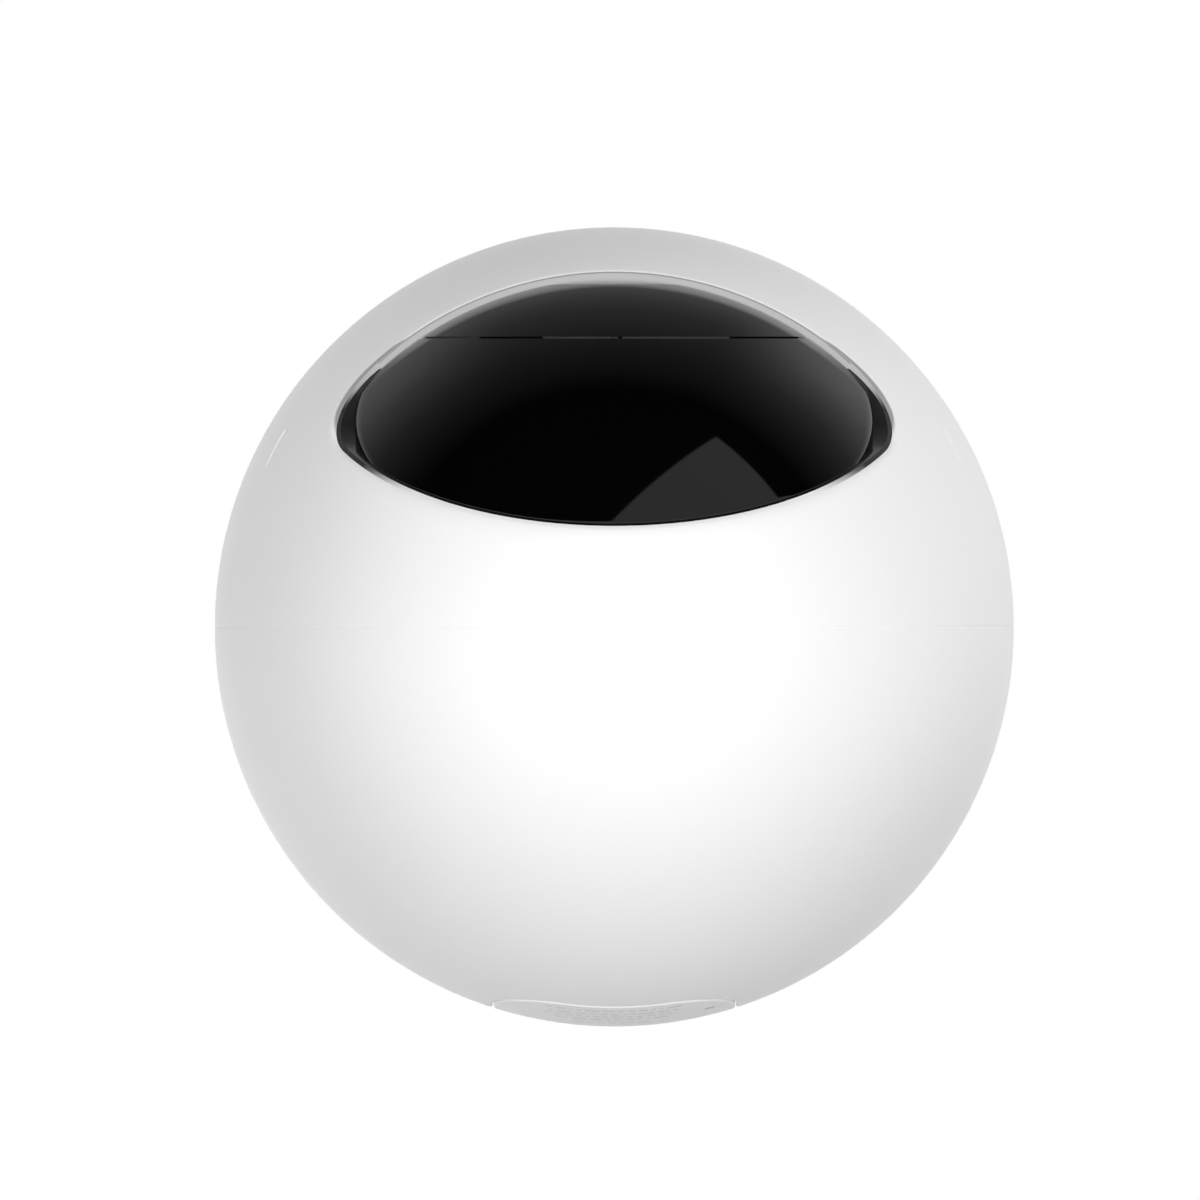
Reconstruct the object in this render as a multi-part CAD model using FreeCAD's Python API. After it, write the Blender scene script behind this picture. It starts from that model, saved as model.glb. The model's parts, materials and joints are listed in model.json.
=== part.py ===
"""Ball-shaped indoor security camera, 100 mm across.

Millimetres.  The origin is the centre of the ball, +Z is up, and the window faces -Y.
Two half shells meet at the equator.  A notch at the upper front holds a two-piece smoked window,
and a lens head behind it pans on a turntable about Z and tilts in a yoke about X.
"""
import FreeCAD, Part
import math
import os

V = FreeCAD.Vector
X_AXIS = V(1, 0, 0)
Y_AXIS = V(0, 1, 0)
Z_AXIS = V(0, 0, 1)
ORIGIN = V(0, 0, 0)

# --- outer ball -----------------------------------------------------------------------------
BALL_R = 50.0
WALL = 2.4
INNER_R = BALL_R - WALL
SEAM_GROOVE = 0.22            # depth and half width of the V groove where the halves meet
TONGUE_R = INNER_R - 0.1      # ring on the lower half that the upper half slips over
TONGUE_T = 1.2
TONGUE_Z = (-4.0, 2.5)
SPHERE_SEAM_AZ = 45.0         # where the spheres' own closing edge lies, clear of every feature

# --- notch and window -----------------------------------------------------------------------
NOTCH_WALL_Y = -22.7          # upright face of the notch
NOTCH_TILT = 26.86            # slope of its lower face
NOTCH_CORNER_Z = 25.33        # where the two faces would meet
NOTCH_FILLET = 11.8
VISOR_R = BALL_R - 0.8
VISOR_T = 2.0
VISOR_GAP = 0.15              # between the notch's faces and the window's edge
VISOR_CUT_R = 60.0            # shallow arc that cuts the window's lower corners back
VISOR_CUT_AT = (-68.81, 68.43)
VISOR_TOP_Z = 42.84
VISOR_SEAM_Z = 36.2
VISOR_SEAM_GAP = 0.25
SEAT_R = VISOR_R - VISOR_T - 0.1
SEAT_T = 2.0
SEAT_REACH = 2.2
SEAT_ROOT = 3.0
BEZEL_R = BALL_R - 0.65       # dark liner under the white lip of the notch
BEZEL_T = 1.0
BEZEL_TOP_Z = 32.4
BEZEL_FILL_R = SEAT_R + 0.9
BEZEL_FILL_Z = 24.0
PIPE_R = 0.5                  # status light pipe on the window's joint line
PIPE_BACK = 45.3
STATUS_BOARD_D = 44.2         # distance of the status board's face from the ball's centre

# --- slots ----------------------------------------------------------------------------------
SLOT_W = 0.45
SIDE_SLOT_Y = -14.0
SIDE_SLOT_DEG = (24.5, 31.0)  # span above the equator
TOP_SLOT_Y = 0.0
TOP_SLOT_DEG = (62.5, 73.5)

# --- hatch and service well under the ball --------------------------------------------------
HATCH_HALF = 15.15
HATCH_CORNER = 9.1
HATCH_GAP = 0.15
HATCH_T = 1.75
WELL_HALF = 17.0
WELL_INNER = 14.2
WELL_FLOOR_Z = (-41.0, -39.5)
LEDGE_R = BALL_R - 1.9
HATCH_TONGUE_W = 8.0
CARD = (11.0, 0.8, 15.0)      # memory card: width, thickness, length
CARD_Y = -5.0
CARD_Z = -43.5
BUTTON_Y = 7.0
BUTTON_STEM_R = 1.2
BUTTON_CAP_R = 2.2
WELL_RIM_D = 48.0
CARD_SLOT_GAP = 0.2
SOCKET_TOP_Z = -27.4
RUNNING_GAP = 0.05            # between parts that turn or slide on each other
SCREW_GAP = 0.1

# --- tripod socket ---------------------------------------------------------------------------
SOCKET_ELEVATION = -38.0      # opposite the lens's rest direction
SOCKET_BOSS_R = 7.0
SOCKET_FACE_R = 8.0           # flat round face on the ball
SOCKET_FACE_D = math.sqrt(BALL_R**2 - SOCKET_FACE_R**2)
INSERT_R = 4.6
INSERT_FLANGE_R = 5.8
INSERT_LENGTH = 9.0
INSERT_BORE_R = 2.55          # tapping size of 1/4 inch, 20 threads
INSERT_BORE_DEPTH = 8.0

# --- power inlet -----------------------------------------------------------------------------
INLET_Z = -10.27
INLET_POCKET = (12.4, 6.6)
INLET_FLOOR_Y = 46.2
USB_OUTER = (8.94, 7.3, 3.26)
USB_WALL = 0.3

# --- chassis and boards ----------------------------------------------------------------------
CHASSIS_Z = (-16.0, -14.0)
CHASSIS_R = 42.5
SHELL_BOSS_AT = 37.0
SHELL_BOSS_AZ = (45.0, 135.0, 225.0, 315.0)
SHELL_BOSS_R = 3.0
BOARD_Z = (-27.2, -26.0)
BOARD_R = 33.0
BOARD_BACK_Y = 23.5
POST_AT = [(24.5, 15.5), (-24.5, 15.5), (24.5, -15.5), (-24.5, -15.5)]
POST_R = 2.4
SCREW_R = 1.0
SCREW_HEAD_R = 1.9
SCREW_HEAD_H = 1.3

# --- speaker at the back ---------------------------------------------------------------------
SPEAKER_ELEVATION = 25.0
SPEAKER_R = 13.5
SPEAKER_BOSS_R = 15.2
SPEAKER_FRONT = 44.6          # distance of the driver's front rim from the ball's centre
CONE_R = 11.1
CONE_HUB_R = 5.0
BASKET_R = 12.0
GRILLE_RINGS = 5
GRILLE_PITCH = 2.3
GRILLE_HOLE_R = 0.55

# --- gears -----------------------------------------------------------------------------------
MODULE = 0.6
PRESSURE_DEG = 25.0
BACKLASH = 0.12
ADDENDUM = 0.8
DEDENDUM = 1.05
CENTRE_EASE = 0.05
PINION_TEETH = 12
PAN_TEETH = 60
TILT_TEETH = 40

# --- pan drive -------------------------------------------------------------------------------
HUB_R = 4.95
HUB_BORE_R = 2.8
BUSH_FLANGE_R = 8.0
BUSH_R = 6.5
TABLE_R = 20.0
TABLE_Z = (-9.5, -8.0)
PAN_GEAR_Z = (-12.6, -9.5)
PAN_PINION_Z = (-12.5, -9.75)
PAN_PINION_AZ = 165.0
MOTOR_R = 7.5
MOTOR_L = 9.0
EAR_AT = MOTOR_R + 2.2        # screw ears either side of a motor's shaft
EAR_R = 1.9
SHAFT_R = 1.0
SHAFT_DEPTH = 3.0

# --- lens head and yoke ----------------------------------------------------------------------
HEAD_AT = V(0.0, -13.0, 11.5)
REST_ELEVATION = 38.0
HEAD_R = 17.0
HEAD_T = 1.5
HEAD_SIDE = 13.0              # flat sides of the head
HEAD_FACE = 12.0              # flat front of the head, ahead of the tilt axis
YOKE_X = (15.0, 17.2)
YOKE_BASE_Z = (-8.0, -6.6)
YOKE_Y = (-18.0, 9.0)
YOKE_SCREWS = [(11.5, -11.0), (-11.5, -11.0), (0.0, 7.5)]
TILT_PINION_AZ = -20.0        # where the tilt pinion sits round the tilt axis, from +Y towards +Z
PIN_R = 2.0
TILT_BUSH_R = 3.2
TILT_GEAR_X = -14.65
TILT_GEAR_T = 1.5
TILT_PINION_X = -14.7
GEAR_HOLES = 6
GEAR_HOLE_R = 2.2
GEAR_HOLE_AT = 6.8
LENS_REACH = 25.0
LENS_R = 7.0
LENS_THREAD_R = 6.0
LENS_HOLE_R = 7.15
LENS_BORE_R = 5.0
LENS_NOSE = 13.0              # where the wider nose begins, ahead of the tilt axis
SHROUD_R = 8.1
SHROUD_REACH = 21.0
HEAD_SCREW_Z = 12.4
SENSOR_HALF = 3.9
FILTER_GLASS_R = 2.9
FILTER_STROKE = 6.4
FILTER_CHANNEL = (-4.5, -2.9)
IR_BOARD_R = 11.8
IR_BOARD_T = 0.8
IR_RING_R = 9.95
IR_COUNT = 6
IR_BASE_R = 1.5
IR_DOME_R = 1.2


# --- helpers ---------------------------------------------------------------------------------
def tidy(shape):
    """One solid, or a compound of solids, with split faces joined up."""
    solids = shape.removeSplitter().Solids
    if len(solids) == 1:
        return solids[0]
    return Part.makeCompound(solids)


def cylinder(radius, low, high, at=(0.0, 0.0)):
    """Upright cylinder between two heights."""
    return Part.makeCylinder(radius, high - low, V(at[0], at[1], low), Z_AXIS)


def rod(radius, start, end):
    """Cylinder from one point to another."""
    return Part.makeCylinder(radius, (end - start).Length, start, end - start)


def tube(outer, inner, low, high, at=(0.0, 0.0)):
    return cylinder(outer, low, high, at).cut(cylinder(inner, low - 1, high + 1, at))


def block(x, y, z):
    """Box between pairs of limits."""
    return Part.makeBox(x[1] - x[0], y[1] - y[0], z[1] - z[0], V(x[0], y[0], z[0]))


def ball(radius, centre=ORIGIN):
    shape = Part.makeSphere(radius)
    shape.rotate(ORIGIN, Z_AXIS, SPHERE_SEAM_AZ)
    shape.translate(centre)
    return shape


def layer(outer, inner):
    """Spherical layer about the origin."""
    return ball(outer).cut(ball(inner))


def rounded_prism(half_x, half_y, corner, low, high):
    """Rounded rectangle in X and Y, between two heights."""
    shape = block((-half_x, half_x), (-half_y, half_y), (low, high))
    upright = [e for e in shape.Edges if abs(e.tangentAt(e.FirstParameter).z) > 0.99]
    return shape.makeFillet(corner, upright)


def direction(azimuth, elevation):
    """Unit vector; azimuth runs from +X towards +Y."""
    a = math.radians(azimuth)
    e = math.radians(elevation)
    return V(math.cos(e) * math.cos(a), math.cos(e) * math.sin(a), math.sin(e))


def compound(shapes):
    return Part.makeCompound(shapes)


def screw(head_at, into, length):
    """Pan-head screw: the head stands on head_at and the shank runs along the vector into."""
    axis = V(into)
    axis.normalize()
    head = Part.makeCylinder(SCREW_HEAD_R, SCREW_HEAD_H, head_at - axis * SCREW_HEAD_H, axis)
    crown = Part.makeCylinder(SCREW_HEAD_R * 0.5, 0.6, head_at - axis * (SCREW_HEAD_H + 0.05), axis)
    shank = Part.makeCylinder(SCREW_R, length, head_at, axis)
    return tidy(head.cut(crown).fuse(shank))


def screw_hole(head_at, into, length):
    """Cutter for a screw's shank, the same size so that the thread bites."""
    axis = V(into)
    axis.normalize()
    return Part.makeCylinder(SCREW_R, length, head_at, axis)


# --- notch -----------------------------------------------------------------------------------
def notch(grow):
    """The notch as a prism along X, offset outward by grow (inward if negative).

    It has an upright face, a slope in front of that and a rounded corner between the two.
    """
    tilt = math.radians(NOTCH_TILT)
    normal_angle = tilt - math.pi / 2
    centre_y = NOTCH_WALL_Y - NOTCH_FILLET
    slope_z = NOTCH_CORNER_Z - NOTCH_FILLET * math.tan(tilt)
    centre = V(0, centre_y, slope_z + NOTCH_FILLET / math.cos(tilt))
    radius = NOTCH_FILLET + grow
    turned = [V(0, math.cos(a), math.sin(a)) for a in (0.0, normal_angle / 2, normal_angle)]
    upright, middle, slope = [centre + n * radius for n in turned]
    far = 2 * BALL_R
    top = V(0, upright.y, far)
    front_low = slope + V(0, -math.cos(tilt), -math.sin(tilt)) * far
    front_top = V(0, front_low.y, far)
    edges = [
        Part.makeLine(top, upright),
        Part.Arc(upright, middle, slope).toShape(),
        Part.makeLine(slope, front_low),
        Part.makeLine(front_low, front_top),
        Part.makeLine(front_top, top),
    ]
    face = Part.Face(Part.Wire(edges))
    face.translate(V(-far, 0, 0))
    return face.extrude(V(2 * far, 0, 0))


def above(z):
    far = 2 * BALL_R
    return block((-far, far), (-far, far), (z, far))


def below(z):
    far = 2 * BALL_R
    return block((-far, far), (-far, far), (-far, z))


def arc_slots(y, degrees):
    """Thin slots through the shell in a plane of constant y, one on each side."""
    low, high = [math.radians(d) for d in degrees]
    far = 1.5 * BALL_R
    cutters = []
    for side in (1, -1):
        corners = [V(side * far * math.cos(a), y - SLOT_W / 2, far * math.sin(a)) for a in (low, high)]
        wedge = Part.Face(Part.makePolygon([V(0, y - SLOT_W / 2, 0), *corners, V(0, y - SLOT_W / 2, 0)]))
        cutters.append(wedge.extrude(V(0, SLOT_W, 0)))
    return cutters


def seam_groove():
    """V groove round the equator, shared by both halves."""
    points = [
        V(BALL_R + 1, 0, -SEAM_GROOVE - 1),
        V(BALL_R + 1, 0, SEAM_GROOVE + 1),
        V(BALL_R - SEAM_GROOVE, 0, 0),
        V(BALL_R + 1, 0, -SEAM_GROOVE - 1),
    ]
    face = Part.Face(Part.makePolygon(points))
    return face.revolve(ORIGIN, Z_AXIS, 360)


# --- speaker place ---------------------------------------------------------------------------
def along_speaker(shape):
    """Moves a piece drawn about +Z so that its axis is the speaker's."""
    shape.rotate(ORIGIN, X_AXIS, SPEAKER_ELEVATION - 90.0)
    return shape


def grille_holes():
    holes = [rod(GRILLE_HOLE_R, V(0, 0, 40), V(0, 0, 60))]
    for ring in range(1, GRILLE_RINGS + 1):
        count = 6 * ring
        for i in range(count):
            a = 2 * math.pi * i / count
            x = ring * GRILLE_PITCH * math.cos(a)
            y = ring * GRILLE_PITCH * math.sin(a)
            holes.append(rod(GRILLE_HOLE_R, V(x, y, 40), V(x, y, 60)))
    return [along_speaker(h) for h in holes]


# --- casing ----------------------------------------------------------------------------------
def upper_shell():
    half = layer(BALL_R, INNER_R).common(above(0)).cut([notch(0), bezel_recess()])
    rim = layer(INNER_R + 0.3, SEAT_R).cut([notch(0), bezel_recess()]).common(notch(SEAT_ROOT))
    seat = layer(SEAT_R, SEAT_R - SEAT_T).cut(notch(-SEAT_REACH)).common(notch(SEAT_ROOT))
    collar = tube(SPEAKER_BOSS_R, SPEAKER_R + 0.3, 40.0, 48.5)
    collar = along_speaker(collar).common(ball(INNER_R + 0.3))
    shape = half.fuse([rim, seat, collar])
    cutters = arc_slots(SIDE_SLOT_Y, SIDE_SLOT_DEG) + arc_slots(TOP_SLOT_Y, TOP_SLOT_DEG)
    return tidy(shape.cut(cutters + grille_holes() + [seam_groove()]))


def socket_direction():
    return direction(90.0, SOCKET_ELEVATION)


def shell_bosses():
    """Posts in the lower half that the chassis screws to."""
    posts = []
    for azimuth in SHELL_BOSS_AZ:
        at = direction(azimuth, 0) * SHELL_BOSS_AT
        posts.append(cylinder(SHELL_BOSS_R, -38.0, CHASSIS_Z[0], (at.x, at.y)))
    return [p.common(ball(INNER_R + 0.4)) for p in posts]


def usb_opening(extra, y_low, y_high):
    """Rounded slot for the inlet, grown by extra all round."""
    width = USB_OUTER[0] + 2 * extra
    height = USB_OUTER[2] + 2 * extra
    shape = rounded_prism(width / 2, height / 2, height / 2 - 0.05, 0, y_high - y_low)
    shape.rotate(ORIGIN, X_AXIS, -90)
    shape.translate(V(0, y_low, INLET_Z))
    return shape


def lower_shell():
    half = layer(BALL_R, INNER_R).common(below(0))
    tongue = tube(TONGUE_R, TONGUE_R - TONGUE_T, *TONGUE_Z)
    tongue = tongue.fuse(tube(TONGUE_R + 0.2, TONGUE_R - TONGUE_T, TONGUE_Z[0], -0.3))
    out = socket_direction()
    boss = rod(SOCKET_BOSS_R, out * 38.0, out * 49.0).common(ball(INNER_R + 0.4))
    pad = block((-8, 8), (43.8, 47.6), (-14.5, -6.0)).common(ball(INNER_R + 0.4))
    shape = half.fuse([tongue, boss, pad] + shell_bosses())
    pocket = rounded_prism(INLET_POCKET[0] / 2, INLET_POCKET[1] / 2, 2.4, 0, 10)
    pocket.rotate(ORIGIN, X_AXIS, -90)
    pocket.translate(V(0, INLET_FLOOR_Y, INLET_Z))
    hatch_hole = rounded_prism(HATCH_HALF + HATCH_GAP, HATCH_HALF + HATCH_GAP, HATCH_CORNER, -55, -40)
    cutters = [
        pocket,
        usb_opening(0.08, 40.0, 50.0),
        hatch_hole,
        seam_groove(),
        rod(SOCKET_FACE_R + 2, out * SOCKET_FACE_D, out * 55.0),
        rod(INSERT_R, out * (SOCKET_FACE_D - INSERT_LENGTH), out * 50.0),
        rod(INSERT_FLANGE_R, out * (SOCKET_FACE_D - 1.0), out * 50.0),
    ]
    for azimuth in SHELL_BOSS_AZ:
        at = direction(azimuth, 0) * SHELL_BOSS_AT
        cutters.append(cylinder(SCREW_R, -24.0, CHASSIS_Z[0] + 1, (at.x, at.y)))
    return tidy(shape.cut(cutters))


def visor_outline():
    """The space that the window fills, as a prism along X."""
    far = 2 * BALL_R
    y, z = VISOR_CUT_AT
    return notch(-VISOR_GAP).common(rod(VISOR_CUT_R, V(-far, y, z), V(far, y, z)))


def visor_window():
    sheet = layer(VISOR_R, VISOR_R - VISOR_T).common(visor_outline())
    sheet = sheet.common(below(VISOR_SEAM_Z - VISOR_SEAM_GAP / 2))
    return tidy(sheet.cut(pipe_shape(PIPE_R)))


def sensor_window():
    sheet = layer(VISOR_R, VISOR_R - VISOR_T).common(visor_outline())
    sheet = sheet.common(above(VISOR_SEAM_Z + VISOR_SEAM_GAP / 2)).common(below(VISOR_TOP_Z))
    return tidy(sheet.cut(pipe_shape(PIPE_R)))


def pipe_direction():
    return direction(-90.0, math.degrees(math.asin(VISOR_SEAM_Z / VISOR_R)))


def pipe_shape(radius):
    out = pipe_direction()
    return rod(radius, out * PIPE_BACK, out * (VISOR_R - 0.05))


def status_light_pipe():
    return pipe_shape(PIPE_R)


def bezel_recess():
    """Room for the liner in the shell's edge, below its white lip."""
    return layer(BEZEL_R, SEAT_R).common(notch(BEZEL_T)).common(below(BEZEL_TOP_Z))


def visor_bezel():
    """Dark liner of the notch's slope and corner, which also seals the window's back edge."""
    liner = bezel_recess().cut(notch(0))
    seal = layer(BEZEL_FILL_R, SEAT_R).common(notch(0)).cut(visor_outline())
    return tidy(liner.fuse(seal.common(above(BEZEL_FILL_Z))))


def status_board():
    """Small board behind the window's joint, carrying the status light and the light sensor."""
    board = block((-7, 7), (-2.2, 2.2), (0, 0.8))
    return face_out(board, STATUS_BOARD_D - 0.8)


def status_led():
    chip = block((-0.8, 0.8), (-0.5, 0.5), (0, 0.6))
    sensor = block((3.0, 5.0), (-1.0, 1.0), (0, 0.6))
    return compound([face_out(chip, STATUS_BOARD_D), face_out(sensor, STATUS_BOARD_D)])


def face_out(shape, distance):
    """Moves a piece drawn about +Z out along the light pipe's direction."""
    out = pipe_direction()
    elevation = math.degrees(math.asin(out.z))
    shape.translate(V(0, 0, distance))
    shape.rotate(ORIGIN, X_AXIS, 90.0 - elevation)
    return shape


def side_microphones():
    """A microphone in its rubber boot behind each side slot."""
    pieces = []
    middle = math.radians(sum(SIDE_SLOT_DEG) / 2)
    for side in (1, -1):
        boot = block((-2.6, 2.6), (-1.8, 1.8), (-3.0, -0.6))
        boot.rotate(ORIGIN, Y_AXIS, side * (90.0 - math.degrees(middle)))
        ring_r = math.sqrt(INNER_R**2 - SIDE_SLOT_Y**2)
        boot.translate(V(side * ring_r * math.cos(middle), SIDE_SLOT_Y, ring_r * math.sin(middle)))
        pieces.append(tidy(boot.common(ball(INNER_R))))
    return compound(pieces)


def vent_meshes():
    """Dust meshes inside the two top slots."""
    sheet = layer(INNER_R, INNER_R - 0.3)
    low, high = [math.radians(d) for d in TOP_SLOT_DEG]
    reach = 1.5
    pieces = []
    for side in (1, -1):
        ends = sorted(side * INNER_R * math.cos(a) for a in (low, high))
        strip = block((ends[0] - reach, ends[1] + reach), (-2.0, 2.0), (30, 50))
        pieces.append(tidy(sheet.common(strip)))
    return compound(pieces)


# --- hatch and service well ------------------------------------------------------------------
def hatch_cover():
    plate = layer(BALL_R, BALL_R - HATCH_T)
    plate = plate.common(rounded_prism(HATCH_HALF, HATCH_HALF, HATCH_CORNER, -55, -40))
    tongues = []
    for side in (1, -1):
        y = sorted((side * (WELL_INNER - 0.15), side * (WELL_INNER - 1.35)))
        tongue = block((-HATCH_TONGUE_W / 2, HATCH_TONGUE_W / 2), y, (-48.0, -43.2))
        tongues.append(tongue.common(ball(BALL_R - 0.6)))
    return tidy(plate.fuse(tongues))


def service_well():
    """Tub behind the hatch with the card slot and the reset button in its floor."""
    outer = rounded_prism(WELL_HALF, WELL_HALF, HATCH_CORNER + 1.8, -WELL_RIM_D, WELL_FLOOR_Z[1])
    inner = rounded_prism(WELL_INNER, WELL_INNER, HATCH_CORNER - 1.0, -50.0, WELL_FLOOR_Z[0])
    tub = outer.cut(inner).common(ball(LEDGE_R))
    tub = tub.cut(layer(BALL_R, INNER_R).common(below(0)).cut(hatch_relief()))
    half = CARD[0] / 2 + CARD_SLOT_GAP
    slot = block((-half, half), (CARD_Y - 0.7, CARD_Y + 0.7), (-42, -39))
    stem = cylinder(BUTTON_STEM_R + RUNNING_GAP, -42, -39, (0, BUTTON_Y))
    return tidy(tub.cut([slot, stem]))


def hatch_relief():
    half = HATCH_HALF + HATCH_GAP
    return rounded_prism(half, half, HATCH_CORNER, -55, -40)


def memory_card():
    half = CARD[0] / 2
    card = block((-half, half), (CARD_Y - CARD[1] / 2, CARD_Y + CARD[1] / 2), (CARD_Z, CARD_Z + CARD[2]))
    notch_cut = block((half - 0.9, half + 1), (CARD_Y - 1, CARD_Y + 1), (CARD_Z + 6.5, CARD_Z + 9.5))
    face_y = CARD_Y - CARD[1] / 2
    lip = block((-half + 1.5, half - 1.5), (face_y - 0.6, face_y + 0.15), (CARD_Z + 0.5, CARD_Z + 1.3))
    return tidy(card.cut([notch_cut, lip]))


def card_socket():
    outer = block((-7, 7), (CARD_Y - 1.1, CARD_Y + 0.8), (-39.4, SOCKET_TOP_Z))
    half = CARD[0] / 2 + 0.1
    cavity = block((-half, half), (CARD_Y - 0.55, CARD_Y + 0.55), (-40, SOCKET_TOP_Z - 0.4))
    return tidy(outer.cut(cavity))


def card_board():
    return block((-8, 8), (CARD_Y + 0.8, CARD_Y + 1.6), (-39.3, BOARD_Z[0]))


def reset_button():
    at = (0, BUTTON_Y)
    cap = cylinder(BUTTON_CAP_R, -43.2, -41.5, at)
    cap = cap.makeFillet(0.4, [cap.Edges[0], cap.Edges[2]])
    stem = cylinder(BUTTON_STEM_R, -42.0, -29.4, at)
    collar = cylinder(2.0, -39.4, -38.6, at)
    return tidy(cap.fuse([stem, collar]))


def reset_switch():
    body = block((-2, 2), (BUTTON_Y - 2, BUTTON_Y + 2), (-28.6, BOARD_Z[0]))
    dome = cylinder(1.0, -28.9, -28.6, (0, BUTTON_Y))
    return tidy(body.fuse(dome))


# --- tripod socket and inlet -----------------------------------------------------------------
def threaded_insert():
    out = socket_direction()
    end = SOCKET_FACE_D
    body = rod(INSERT_R, out * (end - INSERT_LENGTH), out * end)
    flange = rod(INSERT_FLANGE_R, out * (end - 1.0), out * end)
    bore = rod(INSERT_BORE_R, out * (end - INSERT_BORE_DEPTH), out * (end + 1))
    return tidy(body.fuse(flange).cut(bore))


def usb_socket():
    """Receptacle shell with its contact tongue."""
    front = INLET_FLOOR_Y - 0.3
    back = front - USB_OUTER[1]
    sleeve = usb_opening(0, back, front).cut(usb_opening(-USB_WALL, back + 0.8, front + 1))
    tongue = block((-3.35, 3.35), (back + 0.5, front - 0.6), (INLET_Z - 0.35, INLET_Z + 0.35))
    return tidy(sleeve.fuse(tongue))


def inlet_board():
    top = INLET_Z - USB_OUTER[2] / 2
    return block((-9, 9), (33.0, 43.6), (top - 1.0, top))


# --- speaker ---------------------------------------------------------------------------------
def speaker_basket():
    inner = CONE_R + 0.1
    rim = tube(SPEAKER_R, inner, SPEAKER_FRONT - 1.6, SPEAKER_FRONT)
    rim = rim.fuse(tube(inner + 0.4, 6.0, SPEAKER_FRONT - 4.6, SPEAKER_FRONT - 3.8))
    wall = tube(BASKET_R, inner, SPEAKER_FRONT - 4.6, SPEAKER_FRONT - 1.0)
    return tidy(along_speaker(rim.fuse(wall).common(ball(INNER_R - 0.2))))


def speaker_cone():
    front = SPEAKER_FRONT - 0.9
    outer = Part.makeCone(CONE_HUB_R, CONE_R, 2.0, V(0, 0, front - 2.0))
    inner = Part.makeCone(CONE_HUB_R, CONE_R, 2.0, V(0, 0, front - 1.6))
    dome = Part.makeSphere(6.2, V(0, 0, front - 5.2)).common(cylinder(CONE_HUB_R, front - 1.9, front + 2))
    return tidy(along_speaker(outer.cut(inner).fuse(dome)))


def speaker_magnet():
    return along_speaker(cylinder(8.5, SPEAKER_FRONT - 8.6, SPEAKER_FRONT - 4.7))


# --- chassis, boards and fixings -------------------------------------------------------------
def chassis():
    plate = cylinder(CHASSIS_R, *CHASSIS_Z)
    boss = cylinder(BUSH_R + 2.5, CHASSIS_Z[0] - 1.0, CHASSIS_Z[1])
    posts = [cylinder(POST_R, BOARD_Z[1], CHASSIS_Z[0] + 0.5, at) for at in POST_AT]
    inlet_top = INLET_Z - USB_OUTER[2] / 2 - 1.0
    ledges = [cylinder(1.6, CHASSIS_Z[1] - 0.5, inlet_top, (x, 36.0)) for x in (-6.5, 6.5)]
    pinion = pan_pinion_at()
    shape = plate.fuse([boss] + posts + ledges)
    cutters = [
        cylinder(BUSH_R, -20, -10),
        cylinder(3.0, -20, -10, (pinion.x, pinion.y)),
        block((-22, -12), (-36, -27), (-20, -10)),
        block((12, 22), (-36, -27), (-20, -10)),
        block((14, 30), (20, 26), (-20, -10)),
    ]
    for azimuth in SHELL_BOSS_AZ:
        at = direction(azimuth, 0) * SHELL_BOSS_AT
        cutters.append(cylinder(SCREW_R + SCREW_GAP, -20, -10, (at.x, at.y)))
    cutters += [cylinder(SCREW_R, BOARD_Z[1] - 1, -18.0, at) for at in POST_AT]
    cutters += [screw_hole(V(p.x, p.y, CHASSIS_Z[1]), -Z_AXIS, 5) for p in motor_screw_points()]
    return tidy(shape.cut(cutters))


def chassis_screws():
    screws = []
    for azimuth in SHELL_BOSS_AZ:
        at = direction(azimuth, 0) * SHELL_BOSS_AT
        screws.append(screw(V(at.x, at.y, CHASSIS_Z[1]), -Z_AXIS, 8.0))
    return compound(screws)


def main_board():
    board = cylinder(BOARD_R, *BOARD_Z).common(block((-40, 40), (-40, BOARD_BACK_Y), (-30, -20)))
    holes = [cylinder(SCREW_R + SCREW_GAP, -30, -20, at) for at in POST_AT]
    return tidy(board.cut(holes))


def main_board_screws():
    return compound([screw(V(x, y, BOARD_Z[0]), Z_AXIS, 6.0) for x, y in POST_AT])


def processor():
    return block((-1, 13), (-16, -2), (BOARD_Z[1], BOARD_Z[1] + 1.2))


def heatsink():
    """Finned plate on the processor."""
    low = BOARD_Z[1] + 1.2
    plate = block((-4, 16), (-19, 1), (low, low + 1.0))
    fins = [block((x, x + 0.8), (-19, 1), (low + 1.0, low + 4.5)) for x in (-4, -0.2, 3.6, 7.4, 11.2, 15.2)]
    return tidy(plate.fuse(fins))


def wifi_module():
    """Radio module under its shielding can."""
    board = block((16, 28), (0, 10), (BOARD_Z[1], BOARD_Z[1] + 0.8))
    can = block((16.5, 27.5), (0.5, 7.0), (BOARD_Z[1] + 0.8, BOARD_Z[1] + 2.4))
    return tidy(board.fuse(can))


def board_chips():
    """Memory, power parts, an inductor and the lead connectors on the main board."""
    top = BOARD_Z[1]
    bottom = BOARD_Z[0]
    chips = [
        block((-12, -5), (-14, -5), (top, top + 1.0)),
        block((-20, -14), (-14, -8), (top, top + 0.9)),
        block((-12, -6), (8, 12), (top, top + 1.0)),
        block((4, 8), (-24, -20), (top, top + 2.0)),
        block((-8, 0), (-29, -26), (top, top + 3.2)),
        block((4, 12), (16, 20), (top, top + 3.2)),
        block((-6, 2), (16, 20), (top, top + 3.2)),
        block((12, 18), (-8, -2), (bottom - 1.0, bottom)),
        block((-20, -12), (-4, 4), (bottom - 1.2, bottom)),
    ]
    capacitors = [cylinder(2.0, top, top + 4.5, (x, -24.0)) for x in (12.0, 17.0)]
    return compound(chips + capacitors)


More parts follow.
